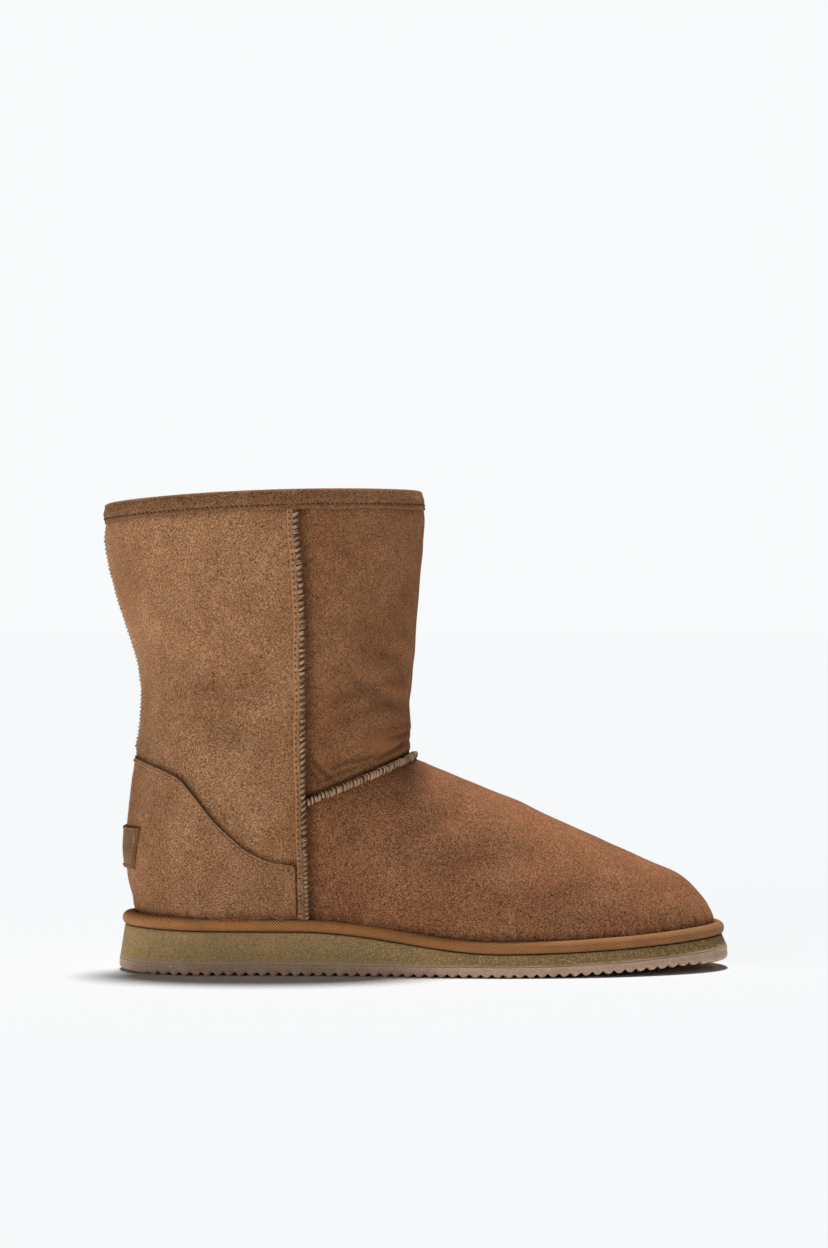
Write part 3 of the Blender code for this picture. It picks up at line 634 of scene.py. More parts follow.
class Finish:
    """A material made of nodes, with short calls for the ones that are used often."""

    def __init__(self, name, **sockets):
        self.material = bpy.data.materials.new(name)
        self.material.use_nodes = True
        self.tree = self.material.node_tree
        self.shader = self.tree.nodes["Principled BSDF"]
        for socket, value in sockets.items():
            self.feed(self.shader.inputs[socket.replace("_", " ")], value)
        self.room = self.add("ShaderNodeTexCoord").outputs["Object"]

    def add(self, kind, inputs=None, **settings):
        made = self.tree.nodes.new(kind)
        for key, value in settings.items():
            setattr(made, key, value)
        for key, value in (inputs or {}).items():
            self.feed(made.inputs[key], value)
        return made

    def feed(self, socket, value):
        """A constant, or another node's output, into a socket."""
        if isinstance(value, bpy.types.NodeSocket):
            self.tree.links.new(value, socket)
        elif socket.type == "RGBA":
            socket.default_value = (*value, 1.0)
        else:
            socket.default_value = value

    def noise(self, size, detail, roughness, room=None):
        """Noise from 0 to 1 with features of a size in metres."""
        sockets = {"Vector": room or self.room, "Scale": 1 / size, "Detail": detail, "Roughness": roughness}
        return self.add("ShaderNodeTexNoise", sockets).outputs[0]

    def slanted(self, tilt, length):
        """The object's own room turned about the boot's width and drawn out along the slant."""
        sockets = {"Vector": self.room, "Rotation": (0.0, tilt, 0.0), "Scale": (1.0, 1.0, length)}
        return self.add("ShaderNodeMapping", sockets, vector_type="TEXTURE").outputs[0]

    def cells(self, size):
        """Distance from the nearest edge in a pattern of cells of a size in metres."""
        sockets = {"Vector": self.room, "Scale": 1 / size}
        return self.add("ShaderNodeTexVoronoi", sockets, feature="DISTANCE_TO_EDGE").outputs["Distance"]

    def math(self, operation, first, second=0.0):
        return self.add("ShaderNodeMath", {0: first, 1: second}, operation=operation).outputs[0]

    def affine(self, value, gain, base=0.0):
        """The value times gain, plus base."""
        return self.add("ShaderNodeMath", {0: value, 1: gain, 2: base}, operation="MULTIPLY_ADD").outputs[0]

    def ramp(self, value, low, high):
        """0 below low, 1 above high, and soft between."""
        sockets = {"Value": value, "From Min": low, "From Max": high}
        return self.add("ShaderNodeMapRange", sockets, interpolation_type="SMOOTHSTEP").outputs[0]

    def forward(self, low, high):
        """0 behind low and 1 ahead of high, along the boot."""
        return self.ramp(self.parts(self.room)[0], low, high)

    def blend(self, factor, first, second):
        return self.add("ShaderNodeMix", {0: factor, 6: first, 7: second}, data_type="RGBA").outputs[2]

    def mottle(self, colour, noise, span, dark, light):
        """A colour that goes from a dark tone to a light one over a span of the noise."""
        return self.blend(self.ramp(noise, *span), tone(colour, *dark), tone(colour, *light))

    def brighten(self, colour, value, gain, base):
        """A colour times a value that is taken times gain, plus base."""
        sockets = {0: colour, "Scale": self.affine(value, gain, base)}
        return self.add("ShaderNodeVectorMath", sockets, operation="SCALE").outputs[0]

    def parts(self, vector):
        return tuple(self.add("ShaderNodeSeparateXYZ", {0: vector}).outputs)

    def stored(self, name):
        """The three parts of a vector that the piece stores at its points."""
        return self.parts(self.add("ShaderNodeAttribute", None, attribute_name=name).outputs["Vector"])

    def bump(self, height, distance, strength, under=None):
        sockets = {"Height": height, "Distance": distance, "Strength": strength}
        if under is not None:
            sockets["Normal"] = under
        return self.add("ShaderNodeBump", sockets).outputs[0]

    def done(self, base, roughness, normal):
        """The material with its colour, roughness and small relief in place."""
        for socket, value in (("Base Color", base), ("Roughness", roughness), ("Normal", normal)):
            self.feed(self.shader.inputs[socket], value)
        return self.material


def suede(name, colour, patches, grain, sheen=0.30, deep=0.62):
    """Brushed nap: soft light and dark patches, cloudy mottling and a fine slanting grain."""
    made = Finish(name, Sheen_Weight=sheen, Sheen_Roughness=0.45, Sheen_Tint=tone(colour, 1.7),
                  Specular_IOR_Level=0.15)
    broad = made.noise(0.027, 2.0, 0.60, made.slanted(0.6, 1.7))
    cloud = made.noise(0.0065, 3.0, 0.62, made.slanted(-0.5, 1.5))
    clump = made.noise(0.0017, 1.0, 0.60)
    nap = made.noise(0.00052, 2.0, 0.72, made.slanted(0.7, 1.4))
    shade, warm, pale = made.stored("marks")
    base = made.mottle(colour, broad, (0.30, 0.70), (1 - patches, 0.05), (1 + patches, -0.03))
    base = made.brighten(base, cloud, 0.56, 0.72)
    base = made.brighten(base, made.ramp(nap, 0.32, 0.68), grain * 3.2, 1 - grain * 1.6)
    base = made.brighten(base, made.ramp(clump, 0.3, 0.7), grain * 0.4, 1 - grain * 0.2)
    base = made.blend(warm, base, tone(colour, 1.18, 0.16))
    base = made.blend(pale, base, tone(colour, 1.35))
    # Painted shade: darker in recesses, creases, beside seams and under edges
    base = made.brighten(base, shade, -deep, 1.0)
    relief = made.bump(clump, 0.00040, 0.6, made.bump(cloud, 0.00060, 0.7))
    return made.done(base, made.affine(cloud, 0.12, 0.84), made.bump(nap, 0.00045, 0.9, relief))


def thread(name, colour):
    """Spun thread: twisted plies, with lighter and darker strands."""
    made = Finish(name, Sheen_Weight=0.25, Sheen_Roughness=0.4, Specular_IOR_Level=0.25)
    gone, turn, _ = made.stored("place")
    shade, warm, _ = made.stored("marks")
    flecks = made.noise(0.0011, 2.0, 0.6)
    patches = made.noise(0.006, 1.0, 0.5)
    base = made.mottle(colour, patches, (0.35, 0.65), (0.80, 0.06), (1.15, 0.0))
    base = made.brighten(base, flecks, 0.70, 0.65)
    base = made.blend(warm, base, tone(colour, 0.85, 0.22))
    # Darker where marked: random darker strands, and painted shade on the stitches by the welt
    base = made.brighten(base, shade, -0.75, 1.0)
    plies = made.math("SINE", made.affine(made.math("ADD", gone, turn), 2 * math.pi * PLIES))
    return made.done(base, made.affine(flecks, 0.2, 0.62), made.bump(plies, 0.00012, 0.6))


def twill_tape(name, colour, pitch):
    """Woven tape with fine diagonal ribs, and painted light that makes it lighter at the heel."""
    made = Finish(name, Sheen_Weight=0.12, Sheen_Roughness=0.5, Specular_IOR_Level=0.25)
    around, across, _ = made.stored("place")
    shade, _, _ = made.stored("marks")
    lean = made.math("ADD", around, made.affine(across, 0.85))
    sway = made.affine(made.noise(0.0040, 1.0, 0.5), 2.4)
    phase = made.math("ADD", made.affine(lean, 2 * math.pi / pitch), sway)
    rib = made.affine(made.math("SINE", phase), 0.5, 0.5)
    yarn = made.math("SINE", made.affine(across, 2 * math.pi / YARN_PITCH))
    patches = made.noise(0.012, 3.0, 0.6)
    base = made.mottle(colour, rib, (0.05, 0.60), (0.40, 0.10), (1.28, -0.02))
    base = made.brighten(base, patches, 0.50, 0.75)
    # Painted light: the tape is made lighter at the heel and darker toward the toe
    base = made.brighten(base, made.forward(-0.09, 0.06), -0.52, 1.25)
    base = made.brighten(base, made.noise(0.0008, 2.0, 0.7), 0.40, 0.80)
    # Painted shade under the roll and in the gap next to the upper
    base = made.brighten(base, shade, -0.70, 1.0)
    relief = made.bump(yarn, 0.00005, 0.5, made.bump(rib, 0.00032, 1.0))
    return made.done(base, made.affine(patches, 0.15, 0.62), relief)


def foam(name, colour):
    """Blown rubber foam with dark and pale specks and a faint skin, and painted light: lighter at the heel,
    darker toward the toe.
    """
    made = Finish(name, Specular_IOR_Level=0.30)
    shade, warm, pale = made.stored("marks")
    speck = made.ramp(made.noise(0.00075, 1.0, 0.7), 0.50, 0.62)
    pit = made.ramp(made.noise(0.00085, 1.0, 0.7), 0.48, 0.36)
    patches = made.noise(0.016, 3.0, 0.55)
    base = made.mottle(colour, patches, (0.32, 0.68), (0.90, -0.04), (1.08, 0.04))
    # Painted light: the foam is made lighter at the heel and darker toward the toe
    base = made.brighten(base, made.forward(-0.07, 0.04), -0.50, 1.27)
    base = made.brighten(base, made.forward(0.04, 0.15), -0.20, 1.0)
    base = made.blend(made.affine(speck, 0.80), base, tone(colour, 1.75, 0.03))
    base = made.blend(made.affine(pit, 0.50), base, tone(colour, 0.55))
    spotted = made.affine(made.noise(0.0016, 3.0, 0.7), 1.2, -0.6)
    smeared = made.ramp(made.math("ADD", warm, spotted), 0.25, 0.80)
    base = made.blend(smeared, base, tone(RUBBER, 1.1))
    base = made.blend(made.math("MULTIPLY", pale, speck), base, FOAM_DUST)
    # Painted shade at the tucked-in bottom and under the welt
    base = made.brighten(base, shade, -0.6, 1.0)
    roughness = made.affine(made.noise(0.002, 2.0, 0.6), 0.25, 0.52)
    return made.done(base, roughness, made.bump(made.noise(0.00075, 2.0, 0.7), 0.00018, 0.6))


def translucent_rubber(name, colour):
    """Milky rubber that lets a little light through."""
    made = Finish(name, Subsurface_Weight=0.35, Subsurface_Scale=0.004, Specular_IOR_Level=0.45,
                  Subsurface_Radius=(1.0, 0.6, 0.45))
    shade, _, pale = made.stored("marks")
    speck = made.ramp(made.noise(0.0011, 2.0, 0.7), 0.56, 0.70)
    pit = made.ramp(made.noise(0.00080, 1.0, 0.7), 0.46, 0.32)
    patches = made.noise(0.010, 3.0, 0.6)
    base = made.mottle(colour, patches, (0.30, 0.70), (0.88, 0.02), (1.10, -0.04))
    base = made.blend(made.affine(speck, 0.70), base, tone(colour, 1.75, -0.05))
    base = made.blend(made.affine(pit, 0.55), base, tone(colour, 0.60))
    base = made.blend(pale, base, tone(colour, 1.7, -0.06))
    # Painted shade where the tread tucks under the foam and on its underside
    base = made.brighten(base, shade, -0.6, 1.0)
    roughness = made.affine(made.noise(0.003, 2.0, 0.6), 0.25, 0.34)
    return made.done(base, roughness, made.bump(made.noise(0.0014, 2.0, 0.6), 0.00012, 0.5))


def smooth_leather(name, colour):
    """Grained leather with a worn, slightly waxy face."""
    made = Finish(name, Specular_IOR_Level=0.35)
    shade, _, _ = made.stored("marks")
    grain = made.cells(0.0011)
    pores = made.noise(0.0006, 2.0, 0.6)
    patches = made.noise(0.008, 3.0, 0.6)
    base = made.mottle(colour, patches, (0.30, 0.70), (0.80, 0.05), (1.20, -0.02))
    base = made.brighten(base, made.ramp(grain, 0.0, 0.25), 0.25, 0.80)
    # Painted shade at the label's folded edges and in its stitch groove
    base = made.brighten(base, shade, -0.6, 1.0)
    relief = made.bump(made.ramp(grain, 0.0, 0.30), 0.00015, 0.6)
    return made.done(base, made.affine(pores, 0.25, 0.42), relief)


def wool(name, colour):
    """Curly fleece: lighter tips and painted shade between the locks."""
    made = Finish(name, Sheen_Weight=0.45, Sheen_Roughness=0.55, Sheen_Tint=tone(colour, 1.3),
                  Specular_IOR_Level=0.12)
    shade, _, _ = made.stored("marks")
    patches = made.noise(0.009, 3.0, 0.6)
    fibres = made.noise(0.0007, 3.0, 0.8)
    base = made.mottle(colour, patches, (0.3, 0.7), (0.82, 0.05), (1.14, 0.0))
    base = made.brighten(base, fibres, 0.3, 0.85)
    # Painted shade between the locks, and random darker locks
    base = made.brighten(base, shade, -0.30, 1.0)
    return made.done(base, made.affine(fibres, 0.1, 0.88), made.bump(fibres, 0.0005, 0.7))


REAR_SUEDE = (0.465, 0.230, 0.110)
COUNTER_SUEDE = (0.448, 0.220, 0.106)
FRONT_SUEDE = (0.336, 0.149, 0.067)
VAMP_SUEDE = (0.362, 0.158, 0.073)
TRIM_SUEDE = (0.300, 0.143, 0.066)
RAW_EDGE = (0.530, 0.285, 0.150)
BEAD_THREAD = (0.700, 0.440, 0.270)
WHIP_THREAD = (0.860, 0.590, 0.400)
STITCH_THREAD = (0.700, 0.430, 0.230)
# Near-black thread for stitches that stand for shaded needle holes: painted shade
HOLE_SHADE_THREAD = (0.090, 0.040, 0.021)
TAPE = (0.640, 0.275, 0.086)
FOAM = (0.415, 0.280, 0.120)
RUBBER = (0.560, 0.365, 0.250)
LABEL = (0.290, 0.130, 0.033)
FLEECE = (0.900, 0.760, 0.580)
FOAM_DUST = (0.600, 0.520, 0.420)
TWILL_PITCH, YARN_PITCH = 1.30 * MM, 0.55 * MM
PLIES = 3


# Suede panels

Crease = namedtuple("Crease", "side along height to_along to_height sag width depth")
CREASE_POINTS = 25
NARROW_CREASE = 0.002
NARROW_SHADE, WIDE_SHADE = 680, 260


def crease_relief_and_painted_shade(creases, points, side_of):
    """Lift of troughs with soft ridges beside them, and painted shade in the troughs, laid out in the
    boot's side view.
    """
    lift, shade = np.zeros(points.shape[:-1]), np.zeros(points.shape[:-1])
    flat = points[..., [0, 2]]
    t = np.linspace(0, 1, CREASE_POINTS)
    for crease in creases:
        start = np.array([crease.along, crease.height])
        end = np.array([crease.to_along, crease.to_height])
        line = start + (end - start) * t[:, None]
        line[:, 1] -= crease.sag * 4 * t * (1 - t)
        best, where = np.full(flat.shape[:-1], np.inf), np.zeros(flat.shape[:-1])
        over = np.zeros(flat.shape[:-1])
        for share, spot in zip(t, line):
            gap = flat - spot
            far = np.linalg.norm(gap, axis=-1)
            near = far < best
            best = np.where(near, far, best)
            where = np.where(near, share, where)
            over = np.where(near, gap[..., 1], over)
        fade = np.sin(math.pi * np.clip(where, 0.02, 0.98)) ** 0.7
        near_side = ease(0.5 + side_of * crease.side / 0.030) if crease.side else 1.0
        signed = np.where(over >= 0, best, -best) / crease.width
        trough = -bell(signed) + 0.55 * hump(signed, 1.9, 1.1) + 0.25 * hump(signed, -1.9, 1.1)
        lift = lift + crease.depth * fade * near_side * trough
        # Painted shade in the trough
        strength = NARROW_SHADE if crease.width < NARROW_CREASE else WIDE_SHADE
        shade = shade + strength * crease.depth * fade * near_side * bell(signed / 0.8)
    return lift, shade


SHAFT_CREASES = (
    Crease(LATERAL, 0.0926, 0.1065, 0.1407, 0.1276, -0.0070, 0.0034, 0.00110),
    Crease(LATERAL, 0.1079, 0.1425, 0.1383, 0.1229, 0.0010, 0.0034, 0.00100),
    Crease(LATERAL, 0.0960, 0.1290, 0.1370, 0.1420, 0.0030, 0.0050, 0.00090),
    Crease(LATERAL, 0.1120, 0.1550, 0.1420, 0.1400, -0.0030, 0.0040, 0.00080),
    Crease(LATERAL, 0.0900, 0.1045, 0.1040, 0.0905, 0.0006, 0.0012, 0.00085),
    Crease(LATERAL, 0.0905, 0.0975, 0.0985, 0.0885, 0.0004, 0.0010, 0.00070),
    Crease(LATERAL, 0.0925, 0.0885, 0.1225, 0.0995, -0.0010, 0.0012, 0.00110),
    Crease(LATERAL, 0.1010, 0.0955, 0.1170, 0.1025, -0.0008, 0.0013, 0.00080),
    Crease(LATERAL, 0.1103, 0.0990, 0.1243, 0.1045, 0.0006, 0.0011, 0.00090),
    Crease(LATERAL, 0.1200, 0.1000, 0.1390, 0.1100, 0.0008, 0.0012, 0.00110),
    Crease(LATERAL, 0.1270, 0.1105, 0.1395, 0.1135, 0.0006, 0.0012, 0.00085),
    Crease(LATERAL, 0.1330, 0.1060, 0.1375, 0.1140, 0.0002, 0.0010, 0.00070),
    Crease(MEDIAL, 0.1000, 0.1380, 0.1380, 0.1230, -0.0040, 0.0045, 0.00110),
    Crease(MEDIAL, 0.0920, 0.1160, 0.1380, 0.1340, 0.0030, 0.0048, 0.00100),
    Crease(MEDIAL, 0.0910, 0.1010, 0.1030, 0.0900, 0.0006, 0.0014, 0.00070),
    Crease(MEDIAL, 0.1040, 0.0930, 0.1360, 0.1060, 0.0012, 0.0016, 0.00080),
    Crease(MEDIAL, 0.0940, 0.0880, 0.1200, 0.0975, -0.0006, 0.0014, 0.00080),
)
REAR_CREASES = (
    Crease(LATERAL, 0.020, 0.1500, 0.066, 0.1300, 0.0040, 0.0090, 0.00102),
    Crease(LATERAL, 0.030, 0.1230, 0.084, 0.1120, 0.0030, 0.0085, 0.00094),
    Crease(MEDIAL, 0.020, 0.1460, 0.070, 0.1280, 0.0040, 0.0090, 0.00102),
    Crease(MEDIAL, 0.026, 0.1200, 0.084, 0.1080, 0.0030, 0.0085, 0.00094),
)
VAMP_CREASES = (
    Crease(BOTH, 0.118, 0.0620, 0.170, 0.0790, 0.0010, 0.0065, 0.00085),
    Crease(BOTH, 0.150, 0.0500, 0.205, 0.0610, 0.0010, 0.0075, 0.00085),
    Crease(LATERAL, 0.100, 0.0560, 0.118, 0.0750, 0.0010, 0.0040, 0.00076),
    Crease(MEDIAL, 0.100, 0.0540, 0.122, 0.0740, 0.0010, 0.0040, 0.00076),
    Crease(LATERAL, 0.200, 0.0350, 0.240, 0.0450, 0.0008, 0.0060, 0.00068),
)

FOOT_TURNS = np.linspace(0, 2, 8001)
FOOT_WALK = walk(surface(FOOT_TURNS, 0.0))


def foot_walk(turn):
    """Distance walked round the foot's edge from the back."""
    return np.interp(np.asarray(turn, float) % 2, FOOT_TURNS, FOOT_WALK)


def seam_distance(points, turn, number):
    """Distance round the surface from the nearest side seam."""
    nearest = np.where(turn % 2 <= 1, 0.5, 1.5)
    return np.linalg.norm(points - surface(nearest, number), axis=-1)


def tucks(around):
    """Small gathers round the foot's edge, and how far they stray from an even row."""
    wander = waves_along(around, 0.040, 13)
    return ripple(around, 0.0074, 0.8 * wander) + 0.6 * ripple(around, 0.0043, 0.9 * wander), wander


Panel = namedtuple("Panel", "name start end low high columns rows even_at rise_at creases")
REAR_PANEL = Panel("rear_panel", -0.5, 0.5, 0.0, TOP, 280, 190, 9.0, 0.25, REAR_CREASES)
FRONT_PANEL = Panel("front_panel", 0.5, 1.5, INSTEP, TOP, 300, 180, 11.0, 1.0, SHAFT_CREASES)
VAMP_PANEL = Panel("vamp", 0.5, 1.5, 0.0, INSTEP, 340, 150, 3.0, 0.85, VAMP_CREASES)
TURNED_IN = 1.6 * MM
STAIN_PLACE, STAIN_SIZE = np.array([0.127, 0.1065]), np.array([0.0085, 0.0050])


def panel_relief_and_painted_shade(shape, turn, number, points):
    """How far a panel's points lie off the plain surface, their painted shade, and how warm they are."""
    front_side = (turn > 0.5) & (turn < 1.5)
    side_of = halved(turn % 2)[0] * np.abs(points[..., 1] - centre_line(points[..., 0]))
    folds, fold_shade = crease_relief_and_painted_shade(shape.creases, points, side_of)
    lift = 0.30 * MM * waves(points, 0.034, 11) + 0.14 * MM * waves(points, 0.012, 12) + folds
    height = points[..., 2]
    above_foot = height - foot_height(turn)
    around = foot_walk(turn)
    tuck, wander = tucks(around)
    at_foot = bell(np.clip(above_foot - 0.006, 0, None) / 0.0065)
    lift += 0.40 * MM * tuck * at_foot - 0.20 * MM * hump(above_foot, 0.0070, 0.0025)
    from_seam = seam_distance(points, turn, number)
    pull = ripple(height, 0.0068, 0.7 * waves(points, 0.030, 14))
    pull += 0.5 * ripple(height, 0.0039, 0.7 * waves(points, 0.022, 15))
    lift += np.where(front_side, 0.22 * MM, 0.16 * MM) * pull * bell(from_seam / 0.0085)
    lift -= np.where(front_side, 1.3 * MM, 0.4 * MM) * hump(from_seam, 0.0048, 0.0040)
    under_rim = rim_height(turn) - height
    facing = np.where(front_side, 0.5 + 0.5 * np.sin(math.pi * (turn - 0.5)), 0.15)
    lift += 0.9 * MM * facing * ease((0.040 - under_rim) / 0.026)
    # Painted shade in the groove above the welt and in the creases; painted light and shade on the gathers
    # at the foot
    shade = 0.34 * hump(above_foot, 0.0068, 0.0022) + fold_shade - 0.10 * tuck * at_foot
    # Painted shade beside the side seam
    shade += np.where(front_side, 0.55, 0.10) * hump(from_seam, 0.0038, 0.0036)
    # Painted shade under the binding
    shade += 0.35 * bell(np.clip(under_rim - BINDING_DROP * 0.83, 0, None) / 0.0018)
    warm = 0.0
    gap = np.linalg.norm(points - surface(turn, INSTEP), axis=-1)
    gathers = ripple(around, 0.0090, 0.8 * wander + 0.25) * bell(gap / 0.0060)
    if shape is FRONT_PANEL:
        lift += 0.10 * MM * gathers - 1.10 * MM * hump(gap, 0.0022, 0.0017)
        lift += 0.50 * MM * hump(gap, 0.0060, 0.0022)
        # Painted shade just above the instep seam, fading further up
        shade += 0.80 * hump(gap, 0.0022, 0.0014) + 0.07 * ease((0.030 - gap) / 0.022)
        warm = 0.9 * bell(np.linalg.norm((points[..., [0, 2]] - STAIN_PLACE) / STAIN_SIZE, axis=-1))
    elif shape is VAMP_PANEL:
        lift += 0.12 * MM * gathers - 0.35 * MM * hump(gap, 0.0030, 0.0022)
        # Painted shade just below the instep seam
        shade += 0.30 * hump(gap, 0.0026, 0.0018)
        shade += 0.16 * ease(0.5 + 0.6 * waves(points, 0.045, 21))
    else:
        over_counter = height - counter_top_height(turn)
        steep = 0.35 + 0.65 * hump(np.abs(turn), 0.27, 0.08)
        # Painted shadow just above the counter's top edge
        shade += 0.75 * steep * hump(over_counter, 0.0004, 0.0016)
    return lift, np.clip(shade, 0, 1), warm


def panel(shape, finish):
    """A suede panel between two turns and two sections, with its edges turned in."""
    turns = even_turns(shape.start, shape.end, shape.columns, shape.even_at)
    numbers = even_numbers(shape.low, shape.high, shape.rows, shape.rise_at)
    turn, number = np.meshgrid(turns, numbers)
    points = surface(turn, number)
    lift, shade, warm = panel_relief_and_painted_shade(shape, turn, number, points)
    away = outward(turn, number)
    grid = framed(points + lift[..., None] * away)
    inward = -TURNED_IN * framed(away)
    grid[[0, -1]] += inward[[0, -1]]
    grid[:, [0, -1]] += inward[:, [0, -1]]
    pile = Pile()
    pile.sheet(grid, marks=framed(stacked(shade, warm)))
    return pile.make(shape.name, [finish], ["upper"])


def make_panels():
    panel(REAR_PANEL, suede("rear_suede", REAR_SUEDE, patches=0.13, grain=0.42))
    panel(FRONT_PANEL, suede("front_suede", FRONT_SUEDE, patches=0.12, grain=0.36, sheen=0.25))
    panel(VAMP_PANEL, suede("vamp_suede", VAMP_SUEDE, patches=0.10, grain=0.46, sheen=0.40))


# Threads on seams

SIDE_PITCH, INSTEP_PITCH, BACK_PITCH = 2.75 * MM, 1.80 * MM, 1.90 * MM
Stitch = namedtuple("Stitch", "pitch share radius sink")
BINDING_STITCH = Stitch(2.35 * MM, 0.52, 0.33 * MM, 0.40)
COUNTER_STITCH = Stitch(2.50 * MM, 0.66, 0.38 * MM, 0.30)
LABEL_STITCH = Stitch(1.90 * MM, 0.70, 0.32 * MM, 0.15)
WELT_STITCH = Stitch(2.90 * MM, 0.45, 0.26 * MM, 0.40)
Whip = namedtuple("Whip", "start end crest bundle radius slant foot fray")
WHIP_POINTS, STITCH_POINTS = 9, 6


def whip_strands(pile, track, starts, whip, dice):
    """Bundles of threads that arch over a seam, one bundle at each start."""
    paths, radii, marks = [], [], []
    u = np.linspace(0, 1, WHIP_POINTS)
    for start in starts:
        lean_here = whip.slant + dice.normal(0, 0.35 * MM * whip.fray)
        thin = dice.uniform(1 - 0.22 * whip.fray, 1.0)
        for k in range(whip.bundle):
            beside = (k - (whip.bundle - 1) / 2) * whip.radius * 1.6
            along = start + beside + dice.normal(0, whip.radius * 0.30 * whip.fray)
            side_from = whip.start + dice.normal(0, 0.22 * MM * whip.fray)
            side_to = whip.end + dice.normal(0, 0.22 * MM * whip.fray)
            top = whip.crest * dice.uniform(1 - 0.16 * whip.fray, 1.03)
            across = side_from + (side_to - side_from) * u
            out = whip.foot + (top - whip.foot) * np.sin(math.pi * u) ** 0.62
            paths.append(track.at(along + lean_here * (u - 0.5), across, out))
            thick = whip.radius * thin * dice.uniform(0.85, 1.12)
            radii.append(thick * (0.55 + 0.45 * np.sin(math.pi * u) ** 0.5))
            marks.append([dice.uniform(0.0, 0.40), dice.uniform(0.0, 0.55), 0.0])
    paths = np.array(paths)
    over = unit(paths[:, WHIP_POINTS // 2] - paths[:, 0])
    lean = np.cross(unit(paths[:, -1] - paths[:, 0]), over)
    pile.strands(paths, np.array(radii), lean[:, None, :] + 1e-9, np.array(marks))


def stitch_row(pile, track, stitch, dice, start=0.0, shade=0.0):
    """Short stitches that dive into the surface at both ends."""
    end = track.length - stitch.pitch / 2
    count = max(int((end - start) / stitch.pitch), 1)
    u = np.linspace(0, 1, STITCH_POINTS)
    arch = np.sin(math.pi * u)
    middles = start + np.arange(count + 1) * (end - start) / count
    lengths = stitch.pitch * stitch.share * dice.uniform(0.92, 1.06, len(middles))
    t = middles[:, None] + (u - 0.5) * lengths[:, None]
    aside = dice.normal(0, stitch.radius * 0.25, (len(middles), 1))
    paths = track.at(t, aside, stitch.radius * (arch**0.6 * (1 + stitch.sink) - stitch.sink))
    radii = stitch.radius * (0.6 + 0.4 * arch**0.5) + 0 * t
    lean = track.mix(track.out, middles)[:, None, :] + 1e-6
    marks = stacked(shade + dice.uniform(0, 0.2, len(middles)), dice.uniform(0, 0.4, len(middles)))
    pile.strands(paths, radii, lean, marks)


def side_seam(name, turn, seed, finishes):
    """Two folded raw edges under overlocked thread, with small holes along the rear edge."""
    dice = np.random.default_rng(seed)
    low, high = float(above_welt(turn)) - 0.8 * MM, float(under_binding(turn)) + 2.6 * MM
    track = side_track(turn, low, high, SEAT_GAP)
    width, tall, pitch = SIDE_SEAM_WIDTH, SIDE_SEAM_HEIGHT, SIDE_PITCH
    rows, columns = 560, 21
    t = np.linspace(0, track.length, rows)[:, None]
    u = np.linspace(0, 1, columns)
    heights = track.mix(track.points, t[:, 0])[:, 2]
    low_part = 1 - ease((heights[:, None] - COUNTER_SIDE_HEIGHT - 0.002) / 0.006)
    beads = np.cos(2 * math.pi * t / pitch)
    across = (u - 0.5) * width + 0.30 * MM * waves_along(t, 0.018, seed + 1)
    crest = 1 - np.abs(2 * u - 1) ** 3.2
    rear = ease((0.50 - u) / 0.10)
    body = crest * (0.66 - 0.16 * rear) * tall * (1 - 0.42 * low_part)
    valley = 0.35 * MM * hump(u, 0.47, 0.05)
    swell = 0.16 * MM * beads * hump(u, 0.72, 0.22)
    from_hole = np.abs(((t / pitch + 0.5) % 1) - 0.5) * pitch
    hole = bell(from_hole / (0.62 * MM)) * bell((u - 0.24) * width / (0.58 * MM))
    puckers = 0.22 * MM * np.sin(2 * math.pi * t / pitch + 1.2) * hump(u, 0.05, 0.14)
    out = body - valley + swell - 0.55 * MM * hole + puckers * crest**0.3
    out += 0.12 * MM * waves(track.at(t, across, out), 0.004, seed + 2)
    out[:, 0], out[:, -1] = -1.0 * MM, -1.8 * MM
    grid = track.at(t, across, out)
    # Painted shade under the overlocked thread, in the needle holes and along the folded rear edge
    shade_under_thread = 0.62 * ease((u - 0.46) / 0.06) * (1 - 0.3 * low_part)
    shade = np.clip(0.95 * hole + shade_under_thread + 0.35 * hump(u, 0.02, 0.04), 0, 1)
    marks = stacked(shade, hump(u, 0.06, 0.10))
    if turn > 1:
        grid, marks = grid[:, ::-1], marks[:, ::-1]
    pile = Pile()
    pile.sheet(grid, marks=marks)
    split = float(np.interp(COUNTER_SIDE_HEIGHT + 0.004, heights, t[:, 0]))
    starts = np.arange(split + pitch, track.length - pitch * 0.3, pitch)
    starts = starts + dice.normal(0, 0.12 * MM, len(starts))
    small = np.arange(0.8 * MM, split + pitch * 0.4, 2.1 * MM)
    edge = width / 2
    bundles = Whip(0.10 * MM, edge + 0.05 * MM, tall, 2, 0.47 * MM, 0.9 * MM, 0.7 * MM, 1.0)
    singles = Whip(-1.45 * MM, 0.45 * MM, tall * 0.72, 1, 0.17 * MM, -0.5 * MM, 1.0 * MM, 1.0)
    front_low = Whip(0.9 * MM, edge, tall * 0.62, 2, 0.36 * MM, 0.5 * MM, 0.5 * MM, 0.4)
    rear_low = Whip(-edge + 0.3 * MM, -0.5 * MM, tall * 0.50, 2, 0.30 * MM, 0.4 * MM, 0.3 * MM, 0.4)
    whip_strands(pile, track, starts, bundles, dice)
    whip_strands(pile, track, starts - pitch / 2, singles, dice)
    whip_strands(pile, track, small, front_low, dice)
    whip_strands(pile, track, small + 1.0 * MM, rear_low, dice)
    return pile.make(name + "_sewn", finishes, [name])


Ridge = namedtuple("Ridge", "width height power sink pitch stray end_height end_reach")
RIDGE_ROWS, RIDGE_COLUMNS = 520, 17


